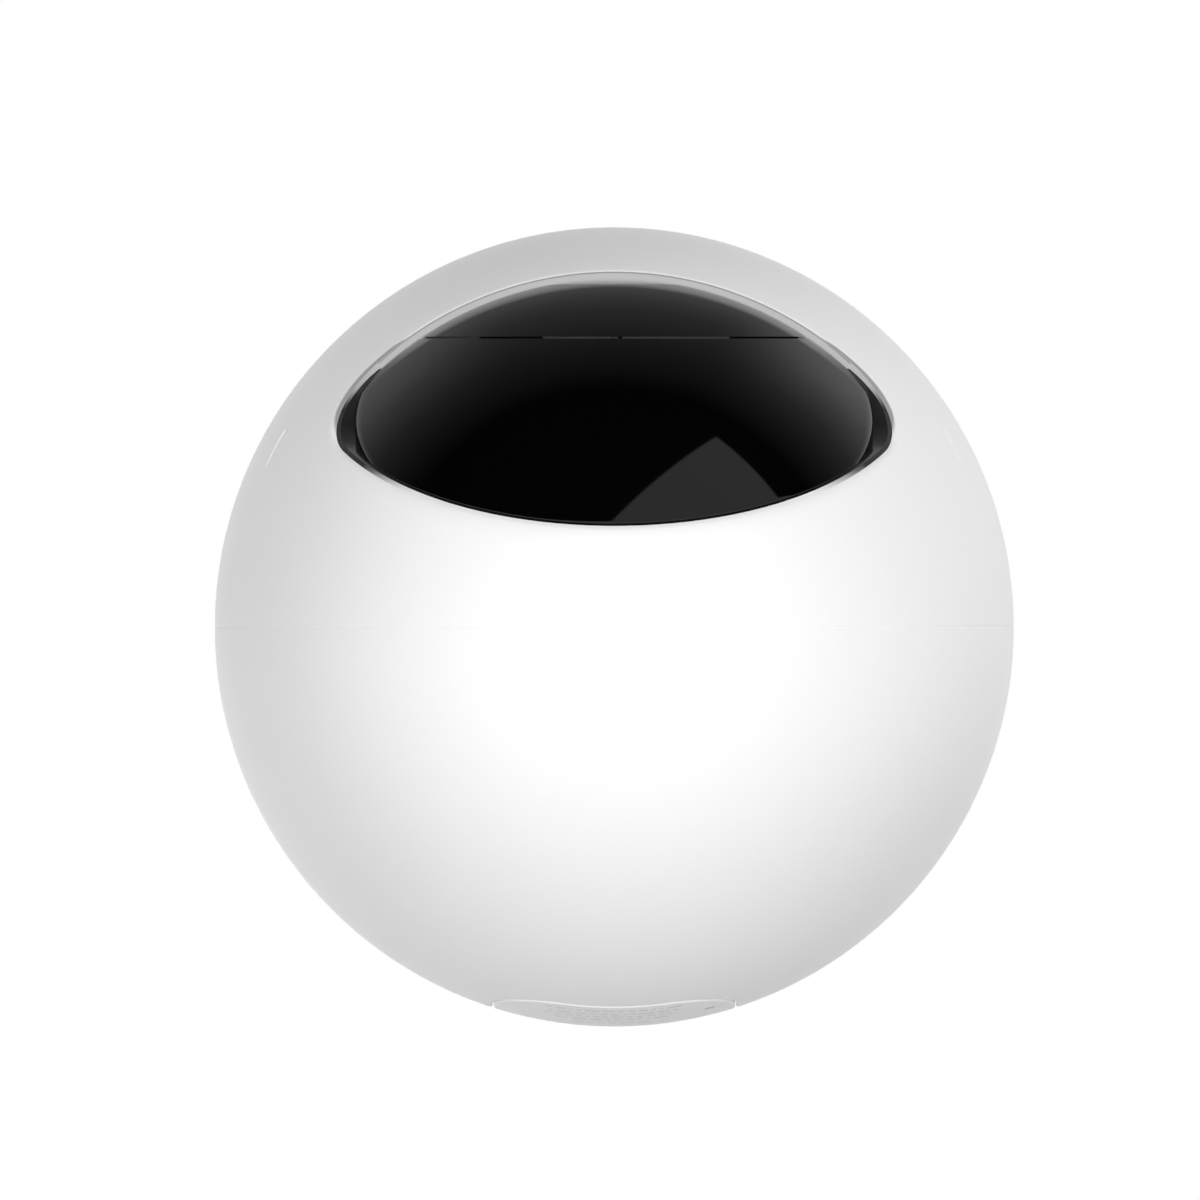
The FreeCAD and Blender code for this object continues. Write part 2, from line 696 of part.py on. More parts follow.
def antenna():
    """Flexible aerial stuck inside the upper half, at the rear."""
    sheet = layer(INNER_R, INNER_R - 0.25)
    strip = sheet.common(block((22, 40), (10, 50), (8, 20)))
    return tidy(strip)


# --- gears -----------------------------------------------------------------------------------
def involute(angle):
    return math.tan(angle) - angle


def gear(teeth, low, high, bore, phase_deg):
    """Spur gear about Z with a tooth centred at phase_deg; stub teeth with true involute flanks."""
    pitch_r = teeth * MODULE / 2
    pressure = math.radians(PRESSURE_DEG)
    base_r = pitch_r * math.cos(pressure)
    root_r = pitch_r - DEDENDUM * MODULE
    tip_r = pitch_r + ADDENDUM * MODULE
    half = math.pi / (2 * teeth) - BACKLASH / (4 * pitch_r) + involute(pressure)
    start_r = max(base_r, root_r)
    steps = 5
    flank = [(root_r, half)] if start_r > root_r else []
    for i in range(steps):
        radius = start_r + (tip_r - start_r) * i / (steps - 1)
        flank.append((radius, half - involute(math.acos(min(1.0, base_r / radius)))))
    points = []
    for tooth in range(teeth):
        middle = math.radians(phase_deg) + 2 * math.pi * tooth / teeth
        for radius, offset in flank:
            points.append(V(radius * math.cos(middle - offset), radius * math.sin(middle - offset), low))
        for radius, offset in reversed(flank):
            points.append(V(radius * math.cos(middle + offset), radius * math.sin(middle + offset), low))
    points.append(points[0])
    blank = Part.Face(Part.makePolygon(points)).extrude(V(0, 0, high - low))
    if bore:
        blank = blank.cut(cylinder(bore, low - 1, high + 1))
    return tidy(blank)


def centre_distance(teeth):
    return MODULE * (teeth + PINION_TEETH) / 2 + CENTRE_EASE


# --- pan drive -------------------------------------------------------------------------------
def pan_pinion_at():
    return direction(PAN_PINION_AZ, 0) * centre_distance(PAN_TEETH)


def motor_screw_points():
    """The two ears of the pan motor, either side of its shaft."""
    at = pan_pinion_at()
    side = direction(PAN_PINION_AZ + 90.0, 0) * EAR_AT
    return [at + side, at - side]


def motor():
    """Small stepper drawn about Z, with its mounting face at z = 0 and its can below."""
    can = cylinder(MOTOR_R, -MOTOR_L, 0)
    can = can.makeFillet(0.6, [e for e in can.Edges if e.BoundBox.ZMax < -MOTOR_L + 0.1])
    ears = rounded_prism(EAR_R, EAR_AT + EAR_R, EAR_R - 0.05, -0.8, 0)
    plug = block((MOTOR_R - 2.0, MOTOR_R + 1.6), (-2.6, 2.6), (-7.0, -3.0))
    body = can.fuse([ears, plug])
    holes = [cylinder(SCREW_R + SCREW_GAP, -2, 1, (0, s * EAR_AT)) for s in (1, -1)]
    holes.append(cylinder(SHAFT_R + RUNNING_GAP, -SHAFT_DEPTH, 1))
    return tidy(body.cut(holes))


def pan_motor():
    body = motor()
    body.rotate(ORIGIN, Z_AXIS, PAN_PINION_AZ)
    at = pan_pinion_at()
    body.translate(V(at.x, at.y, CHASSIS_Z[0]))
    return body


def pan_motor_screws():
    return compound([screw(V(p.x, p.y, CHASSIS_Z[1]), -Z_AXIS, 4.5) for p in motor_screw_points()])


def pan_pinion():
    """Pinion pressed on the motor's shaft."""
    wheel = gear(PINION_TEETH, *PAN_PINION_Z, 0, PAN_PINION_AZ + 180.0 / PINION_TEETH)
    shaft = cylinder(SHAFT_R, CHASSIS_Z[0] - SHAFT_DEPTH + 0.2, PAN_PINION_Z[0] + 0.5)
    body = wheel.fuse(shaft)
    body.translate(pan_pinion_at())
    return tidy(body)


def pan_gear():
    return gear(PAN_TEETH, *PAN_GEAR_Z, 7.0, PAN_PINION_AZ)


def pan_bush():
    sleeve = tube(BUSH_R, HUB_R + RUNNING_GAP, CHASSIS_Z[0] - 1.0, CHASSIS_Z[1] + 0.5)
    flange = tube(BUSH_FLANGE_R, HUB_R + RUNNING_GAP, CHASSIS_Z[1], CHASSIS_Z[1] + 1.0)
    return tidy(sleeve.fuse(flange))


def turntable():
    disc = cylinder(TABLE_R, *TABLE_Z)
    shoulder = cylinder(7.0, CHASSIS_Z[1] + 1.05, TABLE_Z[0] + 0.2)
    hub = cylinder(HUB_R, CHASSIS_Z[0] - 2.1, TABLE_Z[0])
    body = disc.fuse([shoulder, hub])
    cutters = [cylinder(HUB_BORE_R, -25, 0)]
    cutters += [cylinder(SCREW_R, -11, 0, at) for at in YOKE_SCREWS]
    return tidy(body.cut(cutters))


def pan_retainer():
    """Push-on ring that keeps the hub in its bush."""
    low = CHASSIS_Z[0] - 2.1
    ring = tube(7.4, HUB_R, low, low + 1.0)
    return tidy(ring.cut(block((-0.6, 0.6), (-8.0, -4.0), (low - 1, low + 2))))


# --- yoke and tilt drive ---------------------------------------------------------------------
def tilt_pinion_at():
    a = math.radians(TILT_PINION_AZ)
    return HEAD_AT + V(0, math.cos(a), math.sin(a)) * centre_distance(TILT_TEETH)


def along_x(shape, x, at):
    """Turns a piece drawn about +Z so that +Z becomes +X, then moves it to x and the axis at."""
    shape.rotate(ORIGIN, Y_AXIS, 90)
    shape.translate(V(x, at.y, at.z))
    return shape


def yoke():
    """U-shaped bracket; its left arm also carries the tilt motor."""
    base = block((-YOKE_X[1], YOKE_X[1]), YOKE_Y, YOKE_BASE_Z)
    pieces = []
    drive = tilt_pinion_at()
    for side in (1, -1):
        x = sorted((side * YOKE_X[0], side * YOKE_X[1]))
        pieces.append(block(x, (-18.0, -8.0), (YOKE_BASE_Z[0], HEAD_AT.z)))
        pieces.append(rod(5.0, V(x[0], HEAD_AT.y, HEAD_AT.z), V(x[1], HEAD_AT.y, HEAD_AT.z)))
    x = (-YOKE_X[1], -YOKE_X[0])
    pieces.append(block(x, (-9.0, YOKE_Y[1]), (YOKE_BASE_Z[0], drive.z)))
    pieces.append(rod(MOTOR_R - 0.4, V(x[0], drive.y, drive.z), V(x[1], drive.y, drive.z)))
    pieces += tilt_motor_ears(x)
    body = base.fuse(pieces)
    reach = YOKE_X[1] + 1
    cutters = [rod(TILT_BUSH_R, V(-reach, HEAD_AT.y, HEAD_AT.z), V(reach, HEAD_AT.y, HEAD_AT.z))]
    cutters.append(rod(SHAFT_R + 0.6, V(-reach, drive.y, drive.z), V(0, drive.y, drive.z)))
    cutters += [cylinder(SCREW_R + SCREW_GAP, -9, 0, at) for at in YOKE_SCREWS]
    cutters += [rod(SCREW_R, V(-reach, p.y, p.z), V(0, p.y, p.z)) for p in tilt_ear_points()]
    cutters.append(block((-9, 9), (-5, 4), (-9, 0)))
    return tidy(body.cut(cutters))


def tilt_ear_points():
    drive = tilt_pinion_at()
    return [drive + V(0, s * EAR_AT, 0) for s in (1, -1)]


def tilt_motor_ears(x):
    """Lugs for the motor's screws and the bar that joins them."""
    low, high = sorted(p.y for p in tilt_ear_points())
    z = tilt_pinion_at().z
    lugs = [rod(EAR_R, V(x[0], y, z), V(x[1], y, z)) for y in (low, high)]
    return lugs + [block(x, (low, high), (z - EAR_R, z + EAR_R))]


def yoke_screws():
    return compound([screw(V(x, y, YOKE_BASE_Z[1]), -Z_AXIS, 2.8) for x, y in YOKE_SCREWS])


def tilt_motor():
    return along_x(motor(), -YOKE_X[1], tilt_pinion_at())


def tilt_pinion():
    """Pinion pressed on the tilt motor's shaft."""
    wheel = gear(PINION_TEETH, 0, 1.6, 0, TILT_PINION_AZ + 90.0 + 180.0 / PINION_TEETH)
    shaft = cylinder(SHAFT_R, -YOKE_X[1] - TILT_PINION_X - SHAFT_DEPTH + 0.2, 0.3)
    return along_x(tidy(wheel.fuse(shaft)), TILT_PINION_X, tilt_pinion_at())


def tilt_gear():
    wheel = gear(TILT_TEETH, 0, TILT_GEAR_T, PIN_R, TILT_PINION_AZ + 90.0)
    lightening = []
    for i in range(GEAR_HOLES):
        at = direction(360.0 * i / GEAR_HOLES, 0) * GEAR_HOLE_AT
        lightening.append(cylinder(GEAR_HOLE_R, -1, TILT_GEAR_T + 1, (at.x, at.y)))
    return along_x(tidy(wheel.cut(lightening)), TILT_GEAR_X, HEAD_AT)


def tilt_pins():
    y, z = HEAD_AT.y, HEAD_AT.z
    return compound([rod(PIN_R, V(s * 11.6, y, z), V(s * (YOKE_X[1] + 0.2), y, z)) for s in (1, -1)])


def tilt_bushes():
    y, z = HEAD_AT.y, HEAD_AT.z
    rings = []
    for side in (1, -1):
        outer = rod(TILT_BUSH_R, V(side * YOKE_X[0], y, z), V(side * YOKE_X[1], y, z))
        rings.append(tidy(outer.cut(rod(PIN_R + RUNNING_GAP, V(side * 10, y, z), V(side * 20, y, z)))))
    return compound(rings)


# --- lens head, drawn looking along -Y with the tilt axis at the origin ----------------------
def place_head(shape):
    shape.rotate(ORIGIN, X_AXIS, -REST_ELEVATION)
    shape.translate(HEAD_AT)
    return shape


def disc(radius, near, far, at=(0.0, 0.0)):
    """Cylinder along the lens axis between two distances ahead of the tilt axis."""
    return rod(radius, V(at[0], -near, at[1]), V(at[0], -far, at[1]))


def head_body(radius, side, front, back):
    """Ball with flat sides, a flat face and a flat back."""
    return ball(radius).common(block((-side, side), (-front, back), (-radius, radius)))


def head_shell():
    outer = head_body(HEAD_R, HEAD_SIDE, HEAD_FACE, HEAD_R)
    inner = head_body(HEAD_R - HEAD_T, HEAD_SIDE - HEAD_T, HEAD_FACE - HEAD_T, HEAD_R)
    inside = ball(HEAD_R - HEAD_T + 0.2).common(block((-13, 13), (-11, 17), (-17, 17)))
    bosses = []
    for side in (1, -1):
        bosses.append(disc(1.8, -0.5, 10.0, (0, side * HEAD_SCREW_Z)).common(inside))
        bosses.append(disc(3.0, -11.0, 0.0, (0, side * HEAD_SCREW_Z)).common(inside))
    hollow = outer.cut(inner).fuse(bosses)
    pins = rod(PIN_R, V(-20, 0, 0), V(20, 0, 0))
    return hollow.cut([pins, disc(LENS_HOLE_R, 5, 20)])


def head_front_shell():
    half = head_shell().common(block((-20, 20), (-20, 0), (-20, 20)))
    holes = [disc(SCREW_R, -1, 5.0, (0, s * HEAD_SCREW_Z)) for s in (1, -1)]
    return place_head(tidy(half.cut(holes)))


def head_rear_shell():
    half = head_shell().common(block((-20, 20), (0, 20), (-20, 20)))
    holes = [disc(SCREW_R + SCREW_GAP, -20, 1, (0, s * HEAD_SCREW_Z)) for s in (1, -1)]
    holes += [disc(SCREW_HEAD_R + SCREW_GAP, -20, -5.0, (0, s * HEAD_SCREW_Z)) for s in (1, -1)]
    lead_hole = block((-4, 4), (12, 20), (-3, 3))
    return place_head(tidy(half.cut(holes + [lead_hole])))


def head_screws():
    return place_head(compound([screw(V(0, 5.0, s * HEAD_SCREW_Z), -Y_AXIS, 9.5) for s in (1, -1)]))


def lens_barrel():
    """Threaded lens with a wider nose."""
    thread = disc(LENS_THREAD_R, 5.0, LENS_NOSE + 1.0)
    nose = disc(LENS_R, LENS_NOSE, LENS_REACH)
    bore = disc(LENS_BORE_R, 4.0, LENS_REACH - 4.0)
    mouth = rod_cone(5.2, 6.5, LENS_REACH - 4.0, LENS_REACH + 0.01)
    return place_head(tidy(thread.fuse(nose).cut([bore, mouth])))


def rod_cone(near_r, far_r, near, far):
    return Part.makeCone(near_r, far_r, far - near, V(0, -near, 0), -Y_AXIS)


def lens_glass():
    """Front element and the rear group, seated in the barrel."""
    front = disc(LENS_BORE_R, LENS_REACH - 6.0, LENS_REACH - 4.0)
    crown = ball(8.0, V(0, -(LENS_REACH - 9.8), 0)).common(disc(LENS_BORE_R, LENS_REACH - 4.5, LENS_REACH))
    middle = disc(LENS_BORE_R, LENS_NOSE, LENS_NOSE + 2.0)
    rear = disc(LENS_BORE_R, 6.5, 8.5)
    return place_head(compound([tidy(front.fuse(crown)), middle, rear]))


def lens_shroud():
    """Soft light shield round the lens, between the infrared lights and the glass."""
    sleeve = disc(SHROUD_R, HEAD_FACE, SHROUD_REACH).cut(disc(LENS_R, HEAD_FACE - 1, SHROUD_REACH + 1))
    return place_head(tidy(sleeve))


def lens_holder():
    body = block((-7, 7), (-10.3, -1.0), (-7, 7))
    bore = disc(LENS_THREAD_R, 4.6, 11.0)
    channel = block((-8, 8), FILTER_CHANNEL, (-4.3, 4.3))
    window = block((-4.2, 4.2), (-3.0, 0.0), (-4.2, 4.2))
    return place_head(tidy(body.cut([bore, channel, window])))


def image_board():
    return place_head(block((-11, 11), (-1.0, 0.0), (-10, 10)))


def image_sensor():
    return place_head(block((-SENSOR_HALF, SENSOR_HALF), (-2.0, -1.0), (-SENSOR_HALF, SENSOR_HALF)))


def filter_opening(x):
    return disc(FILTER_GLASS_R, 2.0, 5.0, (x, 0))


def filter_frame():
    frame = block((-9.8, 3.4), (-4.3, -3.1), (-4.1, 4.1))
    return place_head(tidy(frame.cut([filter_opening(0), filter_opening(-FILTER_STROKE)])))


def filter_glasses():
    return place_head(compound([disc(FILTER_GLASS_R, 3.3, 4.1, (x, 0)) for x in (0, -FILTER_STROKE)]))


def filter_actuator():
    """Solenoid that flips the filter frame."""
    coil = block((-5, 5), (-5.5, -1.0), (7.6, 10.6))
    return place_head(coil)


def ir_board():
    ring = disc(IR_BOARD_R, HEAD_FACE, HEAD_FACE + IR_BOARD_T)
    ring = ring.cut(disc(SHROUD_R, HEAD_FACE - 1, HEAD_FACE + 2))
    return place_head(tidy(ring))


def ir_leds():
    base_front = HEAD_FACE + 2 * IR_BOARD_T
    leds = []
    for i in range(IR_COUNT):
        a = math.radians(30.0 + 360.0 * i / IR_COUNT)
        at = (IR_RING_R * math.cos(a), IR_RING_R * math.sin(a))
        base = disc(IR_BASE_R, HEAD_FACE + IR_BOARD_T, base_front, at)
        dome = ball(IR_DOME_R, V(at[0], -base_front, at[1]))
        leds.append(tidy(base.fuse(dome.common(disc(IR_BASE_R, base_front - 0.4, base_front + 3, at)))))
    return place_head(compound(leds))


NODES = [
    upper_shell, lower_shell, visor_window, sensor_window, visor_bezel, status_light_pipe,
    status_board, status_led, side_microphones, vent_meshes,
    hatch_cover, service_well, memory_card, card_socket, card_board, reset_button, reset_switch,
    threaded_insert, usb_socket, inlet_board,
    speaker_basket, speaker_cone, speaker_magnet,
    chassis, chassis_screws, main_board, main_board_screws, processor, heatsink, wifi_module,
    board_chips, antenna,
    pan_motor, pan_motor_screws, pan_pinion, pan_gear, pan_bush, turntable, pan_retainer,
    yoke, yoke_screws, tilt_motor, tilt_pinion, tilt_gear, tilt_pins, tilt_bushes,
    head_front_shell, head_rear_shell, head_screws, lens_barrel, lens_glass, lens_shroud,
    lens_holder, image_board, image_sensor, filter_frame, filter_glasses, filter_actuator,
    ir_board, ir_leds,
]


def main():
    os.makedirs("parts", exist_ok=True)
    for make in NODES:
        shape = make()
        shape.exportStep(f"parts/{make.__name__}.step")
        box = shape.BoundBox
        size = f"{box.XLength:.2f} x {box.YLength:.2f} x {box.ZLength:.2f} mm"
        count = len(shape.Solids)
        print(f"{make.__name__}: {count} solid(s), {size}, {shape.Volume:.1f} mm3, {shape.isValid()}")


main()
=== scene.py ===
"""Looks of the ball-shaped security camera: finer outer skins, materials, studio and camera.

The frame is the CAD part's: the ball's centre is the origin, +Z is up and the window faces -Y.
Lengths are in millimetres in the skins, lines and print, and in metres in the rest.
"""

import json
import math

import bmesh
import bpy
import numpy as np
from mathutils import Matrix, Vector

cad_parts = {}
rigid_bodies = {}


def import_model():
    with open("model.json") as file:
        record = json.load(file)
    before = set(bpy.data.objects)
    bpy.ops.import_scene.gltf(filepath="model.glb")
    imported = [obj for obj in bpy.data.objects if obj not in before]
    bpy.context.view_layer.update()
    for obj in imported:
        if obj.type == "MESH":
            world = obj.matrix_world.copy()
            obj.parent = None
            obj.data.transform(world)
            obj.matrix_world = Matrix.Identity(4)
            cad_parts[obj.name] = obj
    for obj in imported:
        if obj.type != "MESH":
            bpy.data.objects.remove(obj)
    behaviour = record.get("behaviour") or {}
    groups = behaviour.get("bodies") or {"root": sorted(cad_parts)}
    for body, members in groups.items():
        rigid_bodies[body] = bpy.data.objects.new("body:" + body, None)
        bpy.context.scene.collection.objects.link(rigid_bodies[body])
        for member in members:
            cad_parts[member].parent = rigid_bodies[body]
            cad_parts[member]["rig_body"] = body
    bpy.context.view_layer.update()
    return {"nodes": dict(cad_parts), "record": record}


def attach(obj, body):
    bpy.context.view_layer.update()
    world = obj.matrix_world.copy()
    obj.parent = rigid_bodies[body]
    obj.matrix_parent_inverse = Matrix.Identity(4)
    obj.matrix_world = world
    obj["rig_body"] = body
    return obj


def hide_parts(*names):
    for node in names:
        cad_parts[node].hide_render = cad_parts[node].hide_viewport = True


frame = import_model()
nodes = frame["nodes"]
MM = 0.001

# --- the notch, the window and the hatch, in millimetres as in the CAD ---------------------------
BALL_R = 50.0
VISOR_R = 49.2                # outside of the two windows
TILT = math.radians(26.86)    # of the notch's slope
WALL_Y = -22.7                # the notch's upright face
CORNER_Z = 25.33              # where that face and the slope would meet
NOTCH_FILLET = 11.8
VISOR_GAP = 0.15              # between the notch and the windows
VISOR_CUT_R = 60.0            # of the arc that cuts the windows' corner back, and its centre
VISOR_CUT_AT = (-68.81, 68.43)
HATCH_HALF = 15.15            # half the hatch's width
HATCH_GAP = 0.15
HATCH_CORNER = 9.1            # radius
GROOVE_BOTTOM_R = 49.78       # bottom of the joint round the ball's middle ...
GROOVE_SHOWN_R = 49.93        # ... and how deep the looks show it
LINER_R = 49.35               # outside of the bezel round the windows
LIP_SHOWN = 0.1               # how far under the shell's lip the bezel shows

# --- how the CAD's skins are refined, in millimetres --------------------------------------------
PLAIN, OUTER, EDGE = 0, 1, 2  # what a face of a skin lies on: anything, the ball, the outline
WELD = 2e-6                   # metres between points that are one
ON_BALL = 0.004               # a face lies on the ball if it is this close to it ...
FACES_OUT = 0.97              # ... and the cosine from its normal to the radius is above this
ON_OUTLINE = 0.03             # how close a point on an outline, or the groove's bottom, is to it
ON_LEVEL = 0.02               # the same for the groove's height and the bezel's outside
SHORTEST_EDGE = 0.1           # edges of the refined ball are at least this long ...
LONGEST_EDGE = 2.0            # ... and at most this long ...
EDGE_GROWTH = 0.5             # ... and grow by this, per millimetre away from the eased edge
MOST_ROUNDS = 14              # of splitting, which stops when no edge is too long
RIM_ROUNDS = 4                # of moving points onto the rim
SHARP_ANGLE = math.radians(30)
TINY = 1e-9                   # keeps divisions and roots finite ...
TINIER = 1e-12                # ... also for the cross products of the smallest faces


class Corner:
    """The notch's outline in the Y-Z plane: an upright face, a slope and a rounded corner."""

    def __init__(self, grow):
        self.radius = NOTCH_FILLET + grow
        self.along = np.array([math.cos(TILT), math.sin(TILT)])
        self.down = np.array([math.sin(TILT), -math.cos(TILT)])
        slope_z = CORNER_Z - NOTCH_FILLET * math.tan(TILT)
        self.centre = np.array([WALL_Y - NOTCH_FILLET, slope_z + NOTCH_FILLET / math.cos(TILT)])

    def distance(self, points):
        """How far points are outside the outline, in millimetres, and the direction out of it."""
        q = points[:, 1:] - self.centre
        length = np.maximum(TINY, np.linalg.norm(q, axis=1))
        rounded = (q[:, 1] < 0) & (q @ self.along > 0)
        to_wall = q[:, 0] - self.radius
        to_slope = q @ self.down - self.radius
        upright = ~rounded & (to_wall > to_slope)
        gap = np.where(rounded, length - self.radius, np.maximum(to_wall, to_slope))
        away = np.zeros_like(points)
        away[:, 1:] = self.down
        away[upright] = (0.0, 1.0, 0.0)
        away[rounded, 1:] = q[rounded] / length[rounded, None]
        return gap, away


class WindowOutline(Corner):
    """The notch's outline, drawn in a little and with its corner cut back by a shallow arc."""

    def distance(self, points):
        gap, away = super().distance(points)
        q = points[:, 1:] - np.array(VISOR_CUT_AT)
        length = np.linalg.norm(q, axis=1)
        cut = length - VISOR_CUT_R > gap
        away[cut, 1:] = q[cut] / length[cut, None]
        return np.maximum(gap, length - VISOR_CUT_R), away


class RoundedSquare:
    """Outline of the hatch, seen from below."""

    def __init__(self, half):
        self.half = half

    def distance(self, points):
        corner = np.abs(points[:, :2]) - (self.half - HATCH_CORNER)
        out = np.maximum(corner, 0.0)
        length = np.linalg.norm(out, axis=1)
        in_corner = length > TINY
        gap = np.where(in_corner, length, corner.max(axis=1)) - HATCH_CORNER
        away = np.zeros_like(points)
        away[in_corner, :2] = out[in_corner] / length[in_corner, None]
        flat = ~in_corner
        across = corner[:, 0] > corner[:, 1]
        away[flat & across, 0] = 1.0
        away[flat & ~across, 1] = 1.0
        away[:, :2] *= np.where(points[:, :2] < 0, -1.0, 1.0)
        return gap, away


NOTCH = Corner(0.0)
VISOR = WindowOutline(-VISOR_GAP)
HATCH = RoundedSquare(HATCH_HALF)
HATCH_HOLE = RoundedSquare(HATCH_HALF + HATCH_GAP)


# --- how far each skin falls away near its edges -----------------------------------------------
def shoulder(gap, depth, width):
    """Soft shoulder: the fall and its rate at a distance inside the edge."""
    t = np.clip(1.0 - np.maximum(gap, 0.0) / width, 0.0, 1.0)
    return depth * t**LIP_POWER, -LIP_POWER * depth / width * t ** (LIP_POWER - 1)


def quarter_round(gap, radius):
    """Rounded edge: the fall and its rate, just short of upright at the edge itself."""
    u = np.clip(radius - np.maximum(gap, ROUND_START), 0.0, None)
    root = np.sqrt(np.maximum(TINY, radius * radius - u * u))
    return radius - root, -u / root


def by_height(z, table):
    """A table's value at each height, with straight lines between its rows."""
    zs, values = zip(*table)
    return np.interp(z, zs, values)


# width and depth of each eased edge, by height: (z, millimetres)
LIP_WIDTH = [(12.6, 2.5), (15.0, 2.0), (20.0, 1.1), (25.0, 0.7), (29.0, 0.9), (33.0, 0.8),
             (36.0, 0.5)]
LIP_DEPTH = [(12.6, 0.42), (20.0, 0.42), (25.0, 0.4), (29.0, 0.35), (33.0, 0.2), (36.0, 0.09)]
VISOR_WIDTH = [(12.6, 0.2), (18.0, 0.3), (24.0, 0.6), (28.0, 1.0), (33.0, 2.0), (43.0, 2.2)]
VISOR_DEPTH = [(12.6, 0.05), (18.0, 0.08), (24.0, 0.14), (28.0, 0.16), (33.0, 0.1), (43.0, 0.08)]
# how far painted light replaces the colour beside the eased edge, by height: painted shade on the
# shell's lip, a painted reflection on the windows' edge
LIP_SHADE = [(22.0, 0.0), (27.0, 1.0), (35.0, 1.0), (37.0, 0.0)]
VISOR_REFLECTION = [(22.0, 0.0), (27.0, 0.12), (31.0, 0.3), (35.0, 1.0)]
NO_EDGE_LIGHT = [(0.0, 0.0), (1.0, 0.0)]
# how much of the strip round the window the liner fills, by height
LINER_SHOWN = [(16.0, 0.0), (20.5, 1.0), (27.9, 1.0), (32.4, 0.0)]
# colour of the notch's own face, by height: white plastic, black bezel, then grey painted shade
# where the plastic is in the shade
WALL_COLOUR_AND_SHADE = [(17.0, 0.86), (20.0, 0.014), (27.5, 0.014), (30.0, 0.4)]
LIP_POWER = 2.6
HATCH_EDGE_R = 0.3
ROUND_START = 0.004           # keeps a rounded edge's slope finite


def shell_fall(points, gap):
    heights = points[:, 2]
    return shoulder(gap, by_height(heights, LIP_DEPTH), by_height(heights, LIP_WIDTH))


def visor_fall(points, gap):
    heights = points[:, 2]
    return shoulder(gap, by_height(heights, VISOR_DEPTH), by_height(heights, VISOR_WIDTH))


def liner_fall(points, gap):
    """The liner's outer face follows the shell's lip, just under it."""
    return LINER_R - liner_reach(points), np.zeros(len(points))


def hatch_fall(points, gap):
    return quarter_round(gap, HATCH_EDGE_R)


def lip_width(points):
    return by_height(points[:, 2], LIP_WIDTH)


def visor_edge_width(points):
    return by_height(points[:, 2], VISOR_WIDTH)


def hatch_edge_width(points):
    return np.full(len(points), HATCH_EDGE_R)


# --- finer copies of the CAD skins ---------------------------------------------------------------
def unit(vectors):
    return vectors / np.maximum(TINIER, np.linalg.norm(vectors, axis=1))[:, None]


def welded(node):
    """The CAD node's points in millimetres and its triangles, with split points joined."""
    bm = bmesh.new()
    bm.from_mesh(nodes[node].data)
    bmesh.ops.remove_doubles(bm, verts=bm.verts, dist=WELD)
    bmesh.ops.triangulate(bm, faces=bm.faces)
    bm.verts.index_update()
    points = np.array([v.co[:] for v in bm.verts]) / MM
    faces = np.array([[v.index for v in f.verts] for f in bm.faces])
    bm.free()
    return points, faces


def split_long(points, faces, kind, wanted):
    """Splits edges of the ball's faces that are longer than wanted.

    Returns the new points, faces and kinds, and how many edges were split.
    """
    sides = np.stack([faces, np.roll(faces, -1, axis=1)], axis=2)
    keys, index = np.unique(np.sort(sides.reshape(-1, 2), axis=1), axis=0, return_inverse=True)
    index = index.reshape(-1, 3)
    lengths = np.linalg.norm(points[keys[:, 0]] - points[keys[:, 1]], axis=1)
    on_ball = np.zeros(len(keys), bool)
    on_ball[index[kind == OUTER].ravel()] = True
    middles = (points[keys[:, 0]] + points[keys[:, 1]]) / 2
    long_edge = on_ball & (lengths > wanted(points[keys[:, 0]], middles, points[keys[:, 1]]))
    if not long_edge.any():
        return points, faces, kind, 0
    for _ in range(3):      # a face that is split at all is split at its longest edge too
        busy = long_edge[index].any(axis=1) & (kind == OUTER)
        longest = lengths[index].argmax(axis=1)
        long_edge[index[busy, longest[busy]]] = True
    number = np.full(len(keys), -1)
    number[long_edge] = len(points) + np.arange(long_edge.sum())
    points = np.vstack([points, middles[long_edge]])
    cut = number[index]
    count = (cut >= 0).sum(axis=1)
    new_faces = [faces[count == 0]]
    new_kinds = [kind[count == 0]]

    def add(rows, kinds):
        new_faces.append(np.array(rows).T)
        new_kinds.append(kinds)

    for turn in range(3):
        f = np.roll(faces, -turn, axis=1)
        m = np.roll(cut, -turn, axis=1)
        one = (count == 1) & (m[:, 0] >= 0)
        a, b, c, ab, k = f[one, 0], f[one, 1], f[one, 2], m[one, 0], kind[one]
        add([a, ab, c], k)
        add([ab, b, c], k)
        two = (count == 2) & (m[:, 2] < 0)
        a, b, c, ab, bc, k = f[two, 0], f[two, 1], f[two, 2], m[two, 0], m[two, 1], kind[two]
        add([ab, b, bc], k)
        first_diagonal = np.linalg.norm(points[a] - points[bc], axis=1)
        second_diagonal = np.linalg.norm(points[ab] - points[c], axis=1)
        first = first_diagonal < second_diagonal
        for rows in ([a, ab, bc], [a, bc, c]):
            add([r[first] for r in rows], k[first])
        for rows in ([a, ab, c], [ab, bc, c]):
            add([r[~first] for r in rows], k[~first])
    three = count == 3
    a, b, c = faces[three].T
    ab, bc, ca = cut[three].T
    for rows in ([a, ab, ca], [ab, b, bc], [ca, bc, c], [ab, bc, ca]):
        add(rows, kind[three])
    return points, np.vstack(new_faces), np.concatenate(new_kinds), int(long_edge.sum())


